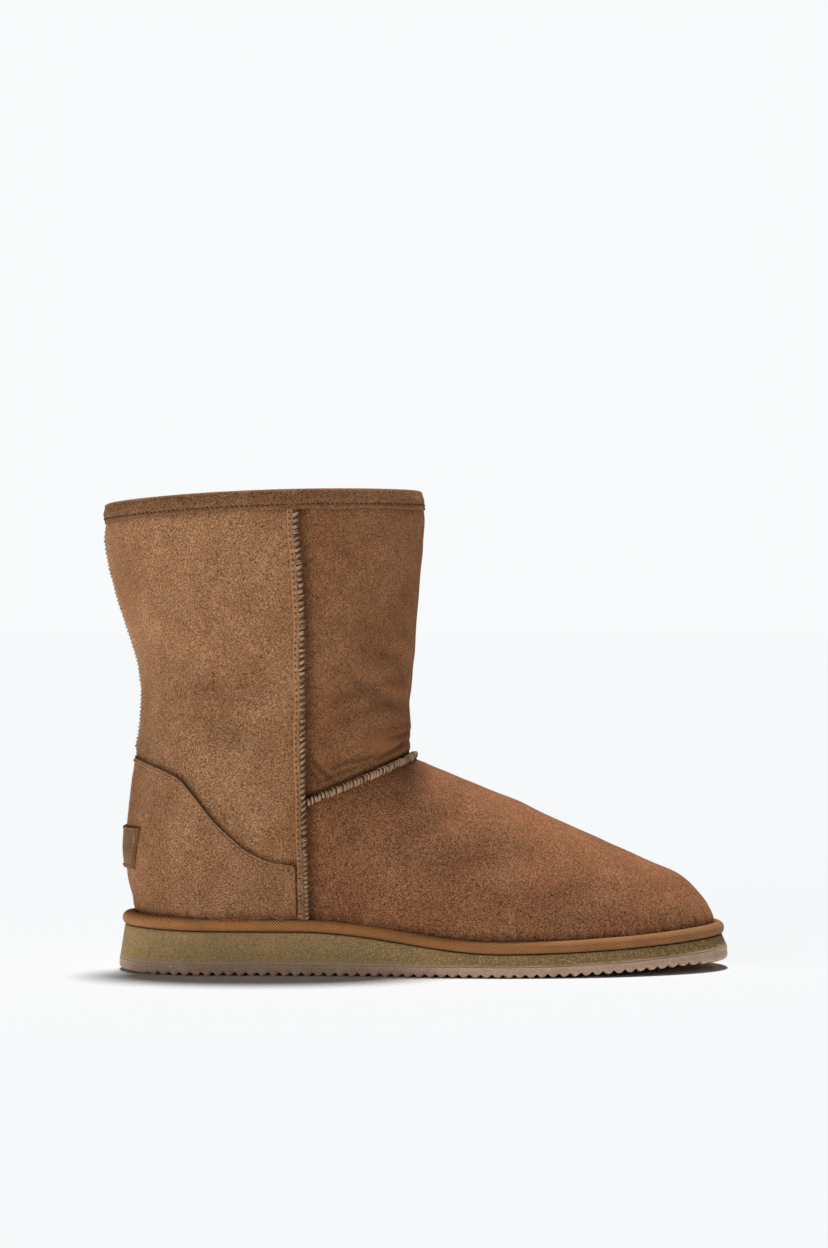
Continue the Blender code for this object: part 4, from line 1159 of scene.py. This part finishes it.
def ridge_grid(track, ridge):
    """Rounded bead along a seam, swelling at each stitch and lower at both ends."""
    t = np.linspace(0, track.length, RIDGE_ROWS)[:, None]
    u = np.linspace(0, 1, RIDGE_COLUMNS)
    across = (u - 0.5) * ridge.width + ridge.stray * waves_along(t, 0.020, 32)
    crest = 1 - np.abs(2 * u - 1) ** ridge.power
    swell = 1 + 0.10 * np.cos(2 * math.pi * t / ridge.pitch)
    out = crest * ridge.height * swell - ridge.sink * (crest < 0.02)
    near_end = ease(np.minimum(t, track.length - t) / ridge.end_reach)
    return track.at(t, across, out * (ridge.end_height + (1 - ridge.end_height) * near_end))


def instep_seam(finishes):
    """Raised seam with whipped thread across the instep."""
    dice = np.random.default_rng(31)
    reach = SIDE_SEAM_WIDTH / 2 + GAP
    speed = np.linalg.norm(surface(0.5 + STEP, INSTEP) - surface(0.5, INSTEP)) / STEP
    turns = even_turns(0.5 + reach / speed, 1.5 - reach / speed, 500, INSTEP)
    track = round_track(turns, np.full(len(turns), INSTEP), SEAT_GAP)
    width, tall, pitch = INSTEP_SEAM_WIDTH, INSTEP_SEAM_HEIGHT, INSTEP_PITCH
    ridge = Ridge(width, tall * 0.62, 2.6, 1.3 * MM, pitch, 0.25 * MM, 0.55, 1.5 * MM)
    pile = Pile()
    # Painted shade on the ridge, seen between the whipped threads
    pile.sheet(ridge_grid(track, ridge), marks=(0.50, 0.2, 0.0))
    starts = np.arange(pitch * 0.6, track.length - pitch * 0.3, pitch)
    starts = starts + dice.normal(0, 0.12 * MM, len(starts))
    side = width / 2 - 0.1 * MM
    whip = Whip(-side, side, tall * 0.86, 2, 0.35 * MM, 0.8 * MM, -0.2 * MM, 0.9)
    whip_strands(pile, track, starts, whip, dice)
    return pile.make("instep_seam_whipped", finishes, ["instep_seam"])


def back_seam(finishes):
    """Overlocked seam up the back of the shaft."""
    dice = np.random.default_rng(41)
    low, high = float(counter_top_height(0.0)) - 0.5 * MM, float(under_binding(0.0)) + 2.4 * MM
    track = side_track(0.0, low, high, SEAT_GAP, rows=500)
    width, tall, pitch = BACK_SEAM_WIDTH, BACK_SEAM_HEIGHT, BACK_PITCH
    ridge = Ridge(width * 1.5, tall * 0.78, 1.5, 1.4 * MM, pitch, 0.0, 0.45, 6 * MM)
    pile = Pile()
    # Faint painted shade on the ridge under the whipped threads
    pile.sheet(ridge_grid(track, ridge), marks=(0.05, 0.1, 0.0))
    starts = np.arange(5 * MM, track.length - 5 * MM, pitch)
    whip = Whip(-width * 0.36, width * 0.36, tall * 0.95, 2, 0.34 * MM, 0.4 * MM, 0.7 * MM, 0.6)
    whip_strands(pile, track, starts, whip, dice)
    return pile.make("back_seam_whipped", finishes, ["back_seam"])


# Collar, counter and label

Fold = namedtuple("Fold", "drop lift shade")
# Shade column: painted shadow along the strip's lower edge and faint painted shade in its stitch groove
OUTER_FOLDS = (
    Fold(0.83, 0.10, 0.6),
    Fold(0.83, 0.55, 0.5),
    Fold(0.818, 0.95, 0.25),
    Fold(0.78, 1.08, 0.0),
    Fold(0.72, 1.10, 0.0),
    Fold(0.66, 1.05, 0.03),
    Fold(0.615, 0.90, 0.06),
    Fold(0.59, 0.86, 0.08),
    Fold(0.565, 0.90, 0.06),
    Fold(0.52, 1.08, 0.03),
    Fold(0.45, 1.22, 0.0),
    Fold(0.37, 1.28, 0.0),
    Fold(0.29, 1.26, 0.0),
    Fold(0.21, 1.20, 0.0),
    Fold(0.14, 1.12, 0.0),
    Fold(0.08, 1.02, 0.0),
)
# Shade column: painted shade on the strip's end deep inside the collar
INNER_FOLDS = (
    Fold(0.05, 1.00, 0.0),
    Fold(0.25, 1.05, 0.0),
    Fold(0.50, 1.05, 0.0),
    Fold(0.80, 1.00, 0.0),
    Fold(0.97, 0.90, 0.4),
    Fold(1.00, 0.50, 0.4),
    Fold(1.00, 0.00, 0.4),
)
RIM_ROWS = 9


def binding(finishes):
    """Suede strip folded over the collar and stitched near its raw edge."""
    dice = np.random.default_rng(51)
    turns = even_turns(0, 2, 420, TOP)[:-1]
    rim = rim_height(turns)
    thick = BINDING_THICKNESS
    half = WALL / 2 + GAP + thick
    out_top = surface(turns, TOP)
    level = unit(outward(turns, TOP) * np.array([1, 1, 0]))
    around = np.stack([np.cos(math.pi * turns), np.sin(math.pi * turns)], -1)
    sway = 0.35 * MM * waves(around, 0.5, 52)
    bumps = waves(50 * around, 6.0, 53)
    at_back = bell(turns / 0.07) + hump(turns, 2.0, 0.07)
    over_seams = 0.75 * MM * (hump(turns, 0.5, 0.020) + hump(turns, 1.5, 0.020))
    rows = []
    for fold in OUTER_FOLDS:
        drop = BINDING_DROP * fold.drop + sway * (fold.drop > 0.8)
        lift = GAP + thick * fold.lift * (1 + 0.06 * bumps)
        lift = lift + over_seams * (1 - 0.5 * (fold.drop < 0.3))
        lift = lift - 0.9 * MM * at_back * ease((0.42 - fold.drop) / 0.40)
        rows.append(skin(turns, number_at(turns, rim - drop), lift))
    for i in range(RIM_ROWS):
        angle = math.pi * (i + 0.5) / RIM_ROWS
        at_outside = at_back * max(math.cos(angle), 0.0)
        aside = -WALL / 2 + half * math.cos(angle) - 0.9 * MM * at_outside
        rise = 0.2 * MM + (GAP + thick - 0.2 * MM) * math.sin(angle) ** 0.8 - 0.6 * MM * at_outside
        rows.append(out_top + aside[:, None] * level + rise[:, None] * np.array([0, 0, 1]))
    for fold in INNER_FOLDS:
        numbers = number_at(turns, rim - BINDING_INNER_DROP * fold.drop)
        rows.append(skin(turns, numbers, -WALL - GAP - thick * fold.lift))
    outer_shade, inner_shade = ([fold.shade for fold in folds] for folds in (OUTER_FOLDS, INNER_FOLDS))
    shade = np.array(outer_shade + [0.0] * RIM_ROWS + inner_shade)[:, None]
    pale = np.zeros((len(rows), len(turns)))
    pale[:len(OUTER_FOLDS)] = 0.40 * (bell(turns / 0.05) + hump(turns, 2.0, 0.05))
    pale[2:7] += 0.14
    pile = Pile()
    pile.sheet(np.array(rows), looped=True, marks=stacked(shade, 0.0, pale))
    loop = np.append(turns, 2.0)
    numbers = number_at(loop, rim_height(loop) - BINDING_DROP * 0.59)
    track = round_track(loop, numbers, GAP + thick * 0.86)
    # Dark stitches stand for the shaded needle holes: painted shade
    stitch_row(pile, track, BINDING_STITCH, dice)
    return pile.make("collar_binding_folded", finishes, ["collar_binding"])


def turn_reach(number, clear):
    """Turn on the rear side of the lateral seam at a distance from it."""
    speed = np.linalg.norm(surface(0.5 - STEP, number) - surface(0.5, number), axis=-1) / STEP
    return 0.5 - clear / speed


COUNTER_STITCH_INSET = 1.9 * MM


def counter(finishes):
    """Suede overlay round the heel with a row of stitches inside its top edge."""
    dice = np.random.default_rng(61)
    turn, level = np.meshgrid(even_turns(-0.5, 0.5, 260, 5.0), np.linspace(0, 1, 72))
    low, high = above_welt(turn), counter_top_height(turn)
    ragged = 0.25 * MM * waves_along(foot_walk(turn), 0.014, 62)
    number = number_at(turn, low + (high + ragged - low) * level)
    reach = turn_reach(number, SIDE_SEAM_WIDTH / 2 + GAP * 2)
    turn = np.clip(turn, -reach, reach)
    points = surface(turn, number)
    from_top = (high - low) * (1 - level)
    above = points[..., 2] - above_welt(turn)
    groove = hump(from_top, COUNTER_STITCH_INSET, 0.7 * MM)
    curl = 0.22 + 0.55 * hump(np.abs(turn), 0.27, 0.06)
    tuck, _ = tucks(foot_walk(turn))
    lift = SEAT_GAP + COUNTER_THICKNESS + 0.18 * MM * waves(points, 0.020, 63)
    lift += 0.10 * MM * waves(points, 0.007, 64) - 0.32 * MM * groove
    lift += curl * MM * hump(from_top, 0.4 * MM, 1.0 * MM)
    lift += 0.30 * MM * tuck * bell(np.clip(above, 0, None) / 0.0060)
    lift -= 0.45 * MM * bell(above / 0.0018)
    # Painted shade just above the welt and in the stitch groove
    shade = 0.45 * bell(above / 0.0020) + 0.30 * groove
    grid, under = skin(turn, number, lift), skin(turn, number, SEAT_GAP * 0.4)
    grid = np.concatenate([under[:1], grid, 0.45 * grid[-1:] + 0.55 * under[-1:], under[-1:]])
    under = np.pad(under, ((1, 2), (0, 0), (0, 0)), mode="edge")
    grid = np.concatenate([under[:, :1], grid, under[:, -1:]], axis=1)
    shade = np.pad(shade, ((1, 2), (1, 1)), mode="edge")
    # Painted shadow under the counter's raised top edge
    shade[-2:] = [[0.75], [0.9]]
    pile = Pile()
    pile.sheet(grid, marks=stacked(shade))
    fine = even_turns(-0.48, 0.48, 900, 6.0)
    heights = counter_top_height(fine)
    steepness = np.gradient(heights, walk(surface(fine, number_at(fine, heights))))
    heights = heights - COUNTER_STITCH_INSET * np.sqrt(1 + steepness**2)
    track = round_track(fine, number_at(fine, heights), SEAT_GAP + COUNTER_THICKNESS - 0.20 * MM)
    stitch_row(pile, track, COUNTER_STITCH, dice, start=COUNTER_STITCH.pitch / 2)
    return pile.make("heel_counter_sewn", finishes, ["heel_counter"])


LABEL_STITCH_INSET = 1.6 * MM


def label_turn(turn, height):
    """Turn of a place on the label, whose sides slant."""
    return turn * (1 + LABEL_SLANT * (height - LABEL_MIDDLE_HEIGHT) / LABEL_HEIGHT)


def label(finishes):
    """Bare patch with folded edges and a row of stitches round its border."""
    dice = np.random.default_rng(71)
    under = SEAT_GAP + COUNTER_THICKNESS + GAP
    base = LABEL_MIDDLE_HEIGHT - LABEL_HEIGHT / 2
    middle = float(number_at(0.0, LABEL_MIDDLE_HEIGHT))
    fine = np.linspace(0, 0.4, 2001)
    reach = float(np.interp(LABEL_WIDTH / 2, walk(surface(fine, middle)), fine))
    turns = even_turns(-reach, reach, 90, middle)
    widths = np.linspace(0, LABEL_WIDTH, len(turns))
    turn, height = np.meshgrid(turns, base + LABEL_HEIGHT * np.linspace(0, 1, 50))
    x, y = np.broadcast_arrays(widths, height - base)
    edge_y = np.minimum(y, LABEL_HEIGHT - y)
    edge = np.minimum(np.minimum(x, LABEL_WIDTH - x), edge_y)
    groove = hump(edge, LABEL_STITCH_INSET, 0.5 * MM)
    lift = under + LABEL_THICKNESS * 0.90 + 0.20 * MM * waves(np.stack([x, y], -1), 0.012, 72)
    lift += 0.30 * MM * hump(edge_y, 0.6 * MM, 0.7 * MM) - 0.25 * MM * groove
    lift = under * 0.8 + (lift - under * 0.8) * (0.25 + 0.75 * ease(edge / (0.8 * MM)))
    # Painted shade along the folded top and bottom edges, at the rim and in the stitch groove
    shade = 0.35 * bell(edge_y / (1.3 * MM)) + 0.3 * groove + 0.25 * bell(edge / (0.5 * MM))
    turn = label_turn(turn, height)
    pile = Pile()
    pile.sheet(skin(turn, number_at(turn, height), lift), marks=stacked(np.clip(shade, 0, 1)))
    near = LABEL_STITCH_INSET
    far_x, far_y = LABEL_WIDTH - near, LABEL_HEIGHT - near
    corners = [(near, near), (far_x, near), (far_x, far_y), (near, far_y), (near, near)]
    sides = [np.linspace(corner, after, 80)[:-1] for corner, after in zip(corners, corners[1:])]
    x, y = np.concatenate(sides).T
    turn = label_turn(np.interp(x, widths, turns), base + y)
    track = round_track(turn, number_at(turn, base + y), under + LABEL_THICKNESS * 0.82)
    stitch_row(pile, track, LABEL_STITCH, dice)
    return pile.make("heel_label_bare", finishes, ["heel_label"])


# Sole

END_MARGIN = 1e-7
EDGE_STEP = 1e-6


def sole_inward(along, side):
    """Direction in from the sole's edge, square to it and level."""
    places = (np.clip(along + step, 0, SOLE_LENGTH) for step in (EDGE_STEP, -EDGE_STEP))
    ahead, behind = (sole_edge(place, side) for place in places)
    way = unit(ahead - behind)
    return side[:, None] * np.stack([way[:, 1], -way[:, 0]], axis=-1)


def sole_ring(turns, inset, height_of):
    """Ring of points round the sole at an inset from its edge, and their places along the sole."""
    side, share = halved(turns)
    along = np.clip(SOLE_LENGTH * (1 - np.cos(math.pi * share)) / 2, END_MARGIN, SOLE_LENGTH - END_MARGIN)
    flat = sole_edge(along, side) + inset * sole_inward(along, side)
    return np.column_stack([flat, height_of(along)]), along


SOLE_FINE = np.linspace(0, 2, 20001)
SOLE_FINE_RING = sole_ring(SOLE_FINE, 0.0, np.zeros_like)[0]


def sole_turns(count):
    """Turns evenly spaced round the sole."""
    return evenly(SOLE_FINE, SOLE_FINE_RING, count)[:-1]


def filled(ring, count):
    """The ring and more that shrink to the sole's middle line, so that a flat face is filled."""
    along = np.clip(ring[:, 0], 0.030, SOLE_LENGTH - 0.045)
    middle = stacked(along, centre_line(along), ring[:, 2])
    return [ring * (1 - share) + middle * share for share in np.arange(count + 1) / count]


Step = namedtuple("Step", "share inset shade warm pale")
# Shade column: painted shade where the foam tucks in at the bottom and under the welt at the top
FOAM_STEPS = (
    Step(-0.02, 0.60, 0.3, 1.0, 0.0),
    Step(-0.01, 0.22, 0.0, 0.9, 0.9),
    Step(0.02, 0.12, 0.0, 0.8, 0.9),
    Step(0.06, 0.18, 0.0, 0.6, 0.2),
    Step(0.14, 0.26, 0.0, 0.4, 0.0),
    Step(0.28, 0.40, 0.0, 0.15, 0.0),
    Step(0.44, 0.55, 0.0, 0.0, 0.0),
    Step(0.60, 0.70, 0.0, 0.0, 0.0),
    Step(0.76, 0.84, 0.0, 0.0, 0.0),
    Step(0.90, 0.97, 0.0, 0.0, 0.0),
    Step(0.96, 1.04, 0.06, 0.0, 0.0),
    Step(0.985, 1.12, 0.2, 0.0, 0.0),
    Step(1.00, 1.24, 0.4, 0.0, 0.0),
)
# Shade column: painted shade where the tread tucks under the foam and on its underside
TREAD_STEPS = (
    Step(1.02, 0.90, 0.1, 0.0, 0.00),
    Step(1.02, 0.14, 0.0, 0.0, 0.30),
    Step(0.97, 0.05, 0.0, 0.0, 0.45),
    Step(0.88, 0.08, 0.0, 0.0, 0.05),
    Step(0.60, 0.04, 0.0, 0.0, 0.00),
    Step(0.35, 0.00, 0.0, 0.0, 0.00),
    Step(0.16, 0.06, 0.0, 0.0, 0.08),
    Step(0.05, 0.22, 0.0, 0.0, 0.25),
    Step(0.00, 0.55, 0.0, 0.0, 0.30),
    Step(0.00, 1.10, 0.2, 0.0, 0.10),
)


FOAM_COLUMNS, TREAD_COLUMNS = 720, 1500


def step_marks(steps):
    return [[step.shade, step.warm, step.pale] for step in steps]


def midsole(finish):
    """Foam wedge with softly rounded edges."""
    turns = sole_turns(FOAM_COLUMNS)
    rings = []
    for step in FOAM_STEPS:
        def height(along, share=step.share):
            low = sole_bottom(along) + OUTSOLE_THICKNESS + GAP
            return low + (sole_top(along) - low) * share
        ring, _ = sole_ring(turns, SOLE_FLARE * step.inset, height)
        rings.append(ring + 0.10 * MM * waves(ring, 0.020, 81)[:, None] * np.array([0, 1, 0]))
    rings += filled(rings[-1], 5)[1:]
    marks = step_marks(FOAM_STEPS)
    marks += [marks[-1]] * (len(rings) - len(marks))
    pile = Pile()
    pile.sheet(np.array(rings), looped=True, marks=np.array(marks)[:, None])
    pile.sheet(np.array(filled(rings[0], 4))[::-1], looped=True)
    return pile.make("midsole_foam", [finish], ["midsole"], sharp=55)


def tread_height(along):
    """Height of the tread's ribs, with the toe's lip a little lower."""
    return sole_bottom(along) - TOE_LIP * ease((along - 0.266) / 0.018)


def rib_depth(along):
    """How deep the tread's grooves are at a place along the sole: rounded ribs, narrow grooves."""
    phase = ((along - 0.0012) / RIB_PITCH) % 1
    groove = hump(phase, 0.66, 0.235)
    fade = ease((along - 0.010) / 0.010) * ease((SOLE_LENGTH - 0.006 - along) / 0.008)
    return GROOVE_DEPTH * 1.35 * groove * fade


def outsole(finish):
    """Thin milky tread with rounded ribs across its bottom."""
    turns = sole_turns(TREAD_COLUMNS)
    rings = []
    for step in TREAD_STEPS:
        def height(along, share=step.share):
            low = tread_height(along) + rib_depth(along) * max(1 - share, 0.0) ** 1.2
            return low + (sole_bottom(along) + OUTSOLE_THICKNESS - low) * share
        ring, along = sole_ring(turns, SOLE_FLARE * step.inset, height)
        dent = rib_depth(along) * max(1 - step.share, 0.0) ** 2 * 0.35
        ring[:, 1] -= np.sign(ring[:, 1] - centre_line(along)) * dent
        rings.append(ring)
    pile = Pile()
    pile.sheet(np.array(rings)[::-1], looped=True, marks=np.array(step_marks(TREAD_STEPS))[::-1, None])
    bottom, half = rings[-1], TREAD_COLUMNS // 2
    along = np.linspace(0.004, SOLE_LENGTH - 0.003, 620)
    lateral = np.interp(along, bottom[:half + 1, 0], bottom[:half + 1, 1])
    medial = np.interp(along, bottom[half:, 0][::-1], bottom[half:, 1][::-1])
    share = (np.linspace(-1, 1, 26) + 1) / 2
    y = lateral[:, None] + (medial - lateral)[:, None] * share
    x = along[:, None]
    channel = bell((y - centre_line(x)) / 0.0011) * ease((x - 0.02) / 0.01) * ease((0.265 - x) / 0.01)
    z = tread_height(x) + rib_depth(x) + 0.6 * MM * channel
    # Painted shade on the tread's underside
    pile.sheet(stacked(x, y, z)[:, ::-1], marks=(0.15, 0.0, 0.1))
    top = rings[0] - np.array([0, 0, 0.02 * MM])
    pile.sheet(np.array(filled(top, 4)), looped=True)
    return pile.make("outsole_tread", [finish], ["outsole"], sharp=60)


Roll = namedtuple("Roll", "inset height shade")
# Shade column: painted shade under the roll next to the sole and where it turns to the upper
ROLLS = (
    Roll(GAP, 0.00, 0.80),
    Roll(-WELT_OVERHANG * 0.55, 0.06, 0.45),
    Roll(-WELT_OVERHANG * 1.05, 0.18, 0.12),
    Roll(-WELT_OVERHANG * 1.35, 0.32, 0.0),
    Roll(-WELT_OVERHANG * 1.40, 0.48, 0.0),
    Roll(-WELT_OVERHANG * 1.15, 0.60, 0.0),
    Roll(-WELT_OVERHANG * 0.60, 0.71, 0.0),
    Roll(WELT_OVERHANG * 0.30, 0.81, 0.0),
    Roll(WELT_OVERHANG * 1.50, 0.88, 0.05),
    Roll(WELT_OVERHANG * 3.00, 0.91, 0.20),
)
Tuck = namedtuple("Tuck", "share drop shade")
# Shade column: painted shade deep in the gap between the roll and the upper
WELT_TUCKS = (
    Tuck(0.55, 0.2 * MM, 0.40),
    Tuck(0.85, 0.7 * MM, 0.75),
    Tuck(1.00, 1.2 * MM, 0.90),
)


def welt(stitches):
    """Roll covered in twill tape, with the upper's suede gathered and sewn down behind it."""
    turns = even_turns(0, 2, 760, 0.0)[:-1]
    side, share = halved(turns)
    along = spread_turn(share, 0.0, SEAM_ALONG_SOLE, SOLE_LENGTH)
    along = np.clip(along, END_MARGIN, SOLE_LENGTH - END_MARGIN)
    edge, inward = sole_edge(along, side), sole_inward(along, side)
    inner_top = skin(turns, number_at(turns, foot_height(turns) + WELT_HEIGHT * 0.78, GAP), GAP * 0.3)
    # The first row sits against the sole in painted shade
    rows, shades = [skin(turns, 0.0, GAP)], [0.9]
    for roll in ROLLS:
        height = sole_top(along) + SEAT_GAP + WELT_HEIGHT * roll.height
        rows.append(np.column_stack([edge + (SOLE_FLARE + roll.inset) * inward, height]))
        shades.append(roll.shade)
    last = rows[-1]
    for tuck in WELT_TUCKS:
        row = last * (1 - tuck.share) + inner_top * tuck.share
        row[:, 2] = last[:, 2] - tuck.drop
        rows.append(row)
        shades.append(tuck.shade)
    grid = np.array(rows)
    around = walk(np.concatenate([grid[4], grid[4][:1]]))
    lengths = np.linalg.norm(np.diff(grid, axis=0), axis=-1).mean(axis=1)
    across = np.concatenate([[0.0], np.cumsum(lengths)])
    outwards = np.column_stack([-inward, np.zeros(len(inward))])
    grid = grid + 0.16 * MM * waves(grid, 0.016, 91)[..., None] * outwards
    grid = np.concatenate([grid, grid[:, :1]], axis=1)
    pile = Pile()
    pile.sheet(grid, place=stacked(around, across[:, None]), marks=stacked(np.array(shades)[:, None]))
    dice = np.random.default_rng(92)
    loop = np.append(turns, 2.0)
    numbers = number_at(loop, foot_height(loop) + WELT_HEIGHT * 0.86, 0.0)
    track = round_track(loop, numbers, np.where((loop < 0.5) | (loop > 1.5), 1.6 * MM, 0.05 * MM))
    # Dark, further darkened stitches stand for shaded needle marks at the join: painted shade
    stitch_row(pile, track, WELT_STITCH, dice, shade=0.15)
    tape = twill_tape("twill_tape", TAPE, around[-1] / round(around[-1] / TWILL_PITCH))
    return pile.make("welt_taped", [tape, stitches], ["welt"])


# Fleece

LINING_LOCKS, INSOLE_LOCKS = 9000, 3000
LOCK_POINTS = 4


def locks(pile, roots, out, dice, length, radius):
    """Small curled locks of wool standing on the roots."""
    count = len(roots)
    u = np.linspace(0, 1, LOCK_POINTS)
    side = unit(np.cross(out, dice.normal(size=(count, 3))))
    other = np.cross(out, side)
    reach = length * dice.uniform(0.65, 1.25, count)
    curl = dice.uniform(0.25, 0.65, count)
    angle = u[None, :] * dice.uniform(2.0, 4.2, count)[:, None]
    swing = (1 - np.cos(angle))[..., None] * side[:, None] + np.sin(angle)[..., None] * other[:, None]
    lie = dice.uniform(0.55, 1.0, count)
    paths = roots[:, None] + out[:, None] * ((reach * lie)[:, None] * np.sin(u * 1.5))[..., None]
    paths = paths + swing * (reach * curl * 0.5)[:, None, None]
    radii = radius * dice.uniform(0.7, 1.25, count)[:, None] * (1.0 - 0.62 * u**2.0)[None, :]
    marks = stacked(dice.uniform(0, 0.35, count))
    pile.strands(paths, radii, side[:, None] + 1e-6, marks, sides=3, kind=0)


def lining(finish):
    """Fleece inside the shaft and foot."""
    dice = np.random.default_rng(101)
    turns = even_turns(0, 2, 200, 10.0)[:-1]
    levels = np.linspace(0, 1, 90)[:, None]
    number = levels * number_at(turns, rim_height(turns) - 1.5 * MM)
    points = surface(turns, number)
    lift = -WALL + 0.1 * MM - 1.3 * MM * np.abs(waves(points, 0.0080, 102))
    lift -= 0.9 * MM * np.abs(waves(points, 0.0040, 103))
    under = ease((levels - 0.975) / 0.02)
    lift = lift * (1 - under) - (WALL + 0.05 * MM) * under
    pile = Pile()
    # Faint painted shade on the sheet between the locks
    pile.sheet(skin(turns, number, lift)[:, ::-1], looped=True, marks=(0.05, 0.0, 0.0))
    count = LINING_LOCKS
    loop = np.append(turns, 2.0)
    spots_turn = np.interp(dice.uniform(0, 1, count), np.linspace(0, 1, len(loop)), loop)
    fine = np.linspace(0, TOP - 0.27, 400)
    gone = walk(surface(0.25, fine))
    spots_number = np.interp(gone[-1] * dice.uniform(0, 1, count) ** 0.50, gone, fine)
    roots = skin(spots_turn, spots_number, -WALL - 0.2 * MM)
    locks(pile, roots, -outward(spots_turn, spots_number), dice, 2.6 * MM, 1.65 * MM)
    return pile.make("fleece_lining", [finish], [])


def footbed(finish):
    """Fleece insole."""
    dice = np.random.default_rng(111)
    rows, columns = 150, 60
    share, across = np.linspace(0.002, 0.998, rows), np.linspace(0, 1, columns)
    clear = -WALL - INSOLE_CLEARANCE
    edge_height = foot_height(share) + INSOLE_THICKNESS * 0.6
    left, right = (skin(turns, number_at(turns, edge_height, clear), clear) for turns in (share, 2 - share))
    grid = left[:, None] * (1 - across[:, None]) + right[:, None] * across[:, None]
    crown = 1 - np.abs(2 * across - 1) ** 6
    ends = 1 - np.abs(2 * share[:, None] - 1) ** 14
    fuzz = 0.8 * MM * waves(grid, 0.006, 112) + 0.4 * MM * waves(grid, 0.003, 113)
    lower_face, upper_face = grid.copy(), grid.copy()
    lower_face[..., 2] = sole_top(grid[..., 0]) + SEAT_GAP
    upper_face[..., 2] = lower_face[..., 2] + INSOLE_THICKNESS * (0.35 + 0.65 * crown * ends) + fuzz * crown
    pile = Pile()
    ring = np.concatenate([upper_face, lower_face[:, ::-1]], axis=1)
    # Painted shade on the insole's sheet between the locks
    pile.sheet(ring, looped=True, marks=(0.15, 0.0, 0.0))
    count = INSOLE_LOCKS
    i, j = dice.integers(2, rows - 2, count), dice.integers(2, columns - 2, count)
    roots = upper_face[i, j] - np.array([0, 0, 0.4 * MM])
    out = unit(np.array([0, 0, 1.0]) + 0.25 * dice.normal(size=(count, 3)))
    locks(pile, roots, out, dice, 3.2 * MM, 1.25 * MM)
    return pile.make("insole_fleece", [finish], ["insole"])


def main_pieces():
    make_panels()
    trim = suede("trim_suede", TRIM_SUEDE, patches=0.10, grain=0.40, sheen=0.25)
    raw = suede("raw_edge_suede", RAW_EDGE, patches=0.15, grain=0.34, sheen=0.25, deep=0.90)
    beads = thread("overlock_thread", BEAD_THREAD)
    whip = thread("whip_thread", WHIP_THREAD)
    pale = thread("pale_thread", STITCH_THREAD)
    # Dark thread whose stitches stand for shaded needle holes: painted shade
    dark = thread("dark_thread", HOLE_SHADE_THREAD)
    side_seam("side_seam_lateral", 0.5, 21, [raw, beads])
    side_seam("side_seam_medial", 1.5, 24, [raw, beads])
    instep_seam([trim, whip])
    back_seam([raw, whip])
    binding([trim, dark])
    counter([suede("counter_suede", COUNTER_SUEDE, patches=0.16, grain=0.40), pale])
    label([smooth_leather("label_leather", LABEL), pale])
    midsole(foam("midsole_foam", FOAM))
    outsole(translucent_rubber("milky_rubber", RUBBER))
    welt(dark)
    fleece = wool("fleece", FLEECE)
    lining(fleece)
    footbed(fleece)


# Stage

FLOOR_HALF = 60.0
FLOOR_PAINT = (0.795, 0.812, 0.822)
BACKDROP = (0.939, 0.956, 0.965, 1.0)
AMBIENT = 0.045
Lamp = namedtuple("Lamp", "name azimuth elevation strength angle")
LAMPS = (
    Lamp("top_light", 180, 80.5, 3.46, 9),
    Lamp("front_light", -35, 9, 0.76, 35),
)
LAMP_DISTANCE = 3
LAMP_AIM = Vector((0, 0, 0.1))


def add_camera():
    data = bpy.data.cameras.new("camera")
    camera = into_scene("camera", data)
    camera.location = EYE
    camera.rotation_euler = (math.pi / 2, 0, 0)
    data.sensor_width = SENSOR
    data.lens = FOCAL_PIXELS * SENSOR / PICTURE_HEIGHT
    data.clip_end = 200
    bpy.context.scene.camera = camera


def add_stage():
    half = FLOOR_HALF
    corners = [(-half, -half, 0), (half, -half, 0), (half, half, 0), (-half, half, 0)]
    mesh = bpy.data.meshes.new("floor")
    mesh.from_pydata(corners, [], [(0, 1, 2, 3)])
    floor = into_scene("floor", mesh)
    paint = Finish("floor_paint", Base_Color=FLOOR_PAINT, Roughness=0.9, Specular_IOR_Level=0.0)
    mesh.materials.append(paint.material)


def add_lights():
    for lamp in LAMPS:
        data = bpy.data.lights.new(lamp.name, "SUN")
        data.energy = lamp.strength
        data.angle = math.radians(lamp.angle)
        light = into_scene(lamp.name, data)
        around, up = math.radians(lamp.azimuth), math.radians(lamp.elevation)
        way = Vector((math.sin(around) * math.cos(up), -math.cos(around) * math.cos(up), math.sin(up)))
        light.location = way * LAMP_DISTANCE
        light.rotation_euler = (LAMP_AIM - light.location).to_track_quat("-Z", "Y").to_euler()


def add_backdrop():
    """A bright backdrop that lights the boot only a little."""
    world = bpy.data.worlds.new("studio")
    world.use_nodes = True
    tree = world.node_tree
    seen = tree.nodes.new("ShaderNodeLightPath").outputs["Is Camera Ray"]
    strength = tree.nodes.new("ShaderNodeMath")
    strength.operation = "MULTIPLY_ADD"
    tree.links.new(seen, strength.inputs[0])
    strength.inputs[1].default_value = 1 - AMBIENT
    strength.inputs[2].default_value = AMBIENT
    background = tree.nodes["Background"]
    background.inputs["Color"].default_value = BACKDROP
    tree.links.new(strength.outputs[0], background.inputs["Strength"])
    bpy.context.scene.world = world


def add_view():
    settings = bpy.context.scene.view_settings
    settings.view_transform = "Standard"
    settings.look = "None"
    settings.exposure = 0.0
    settings.gamma = 1.0


add_camera()
add_stage()
add_lights()
add_backdrop()
add_view()
main_pieces()
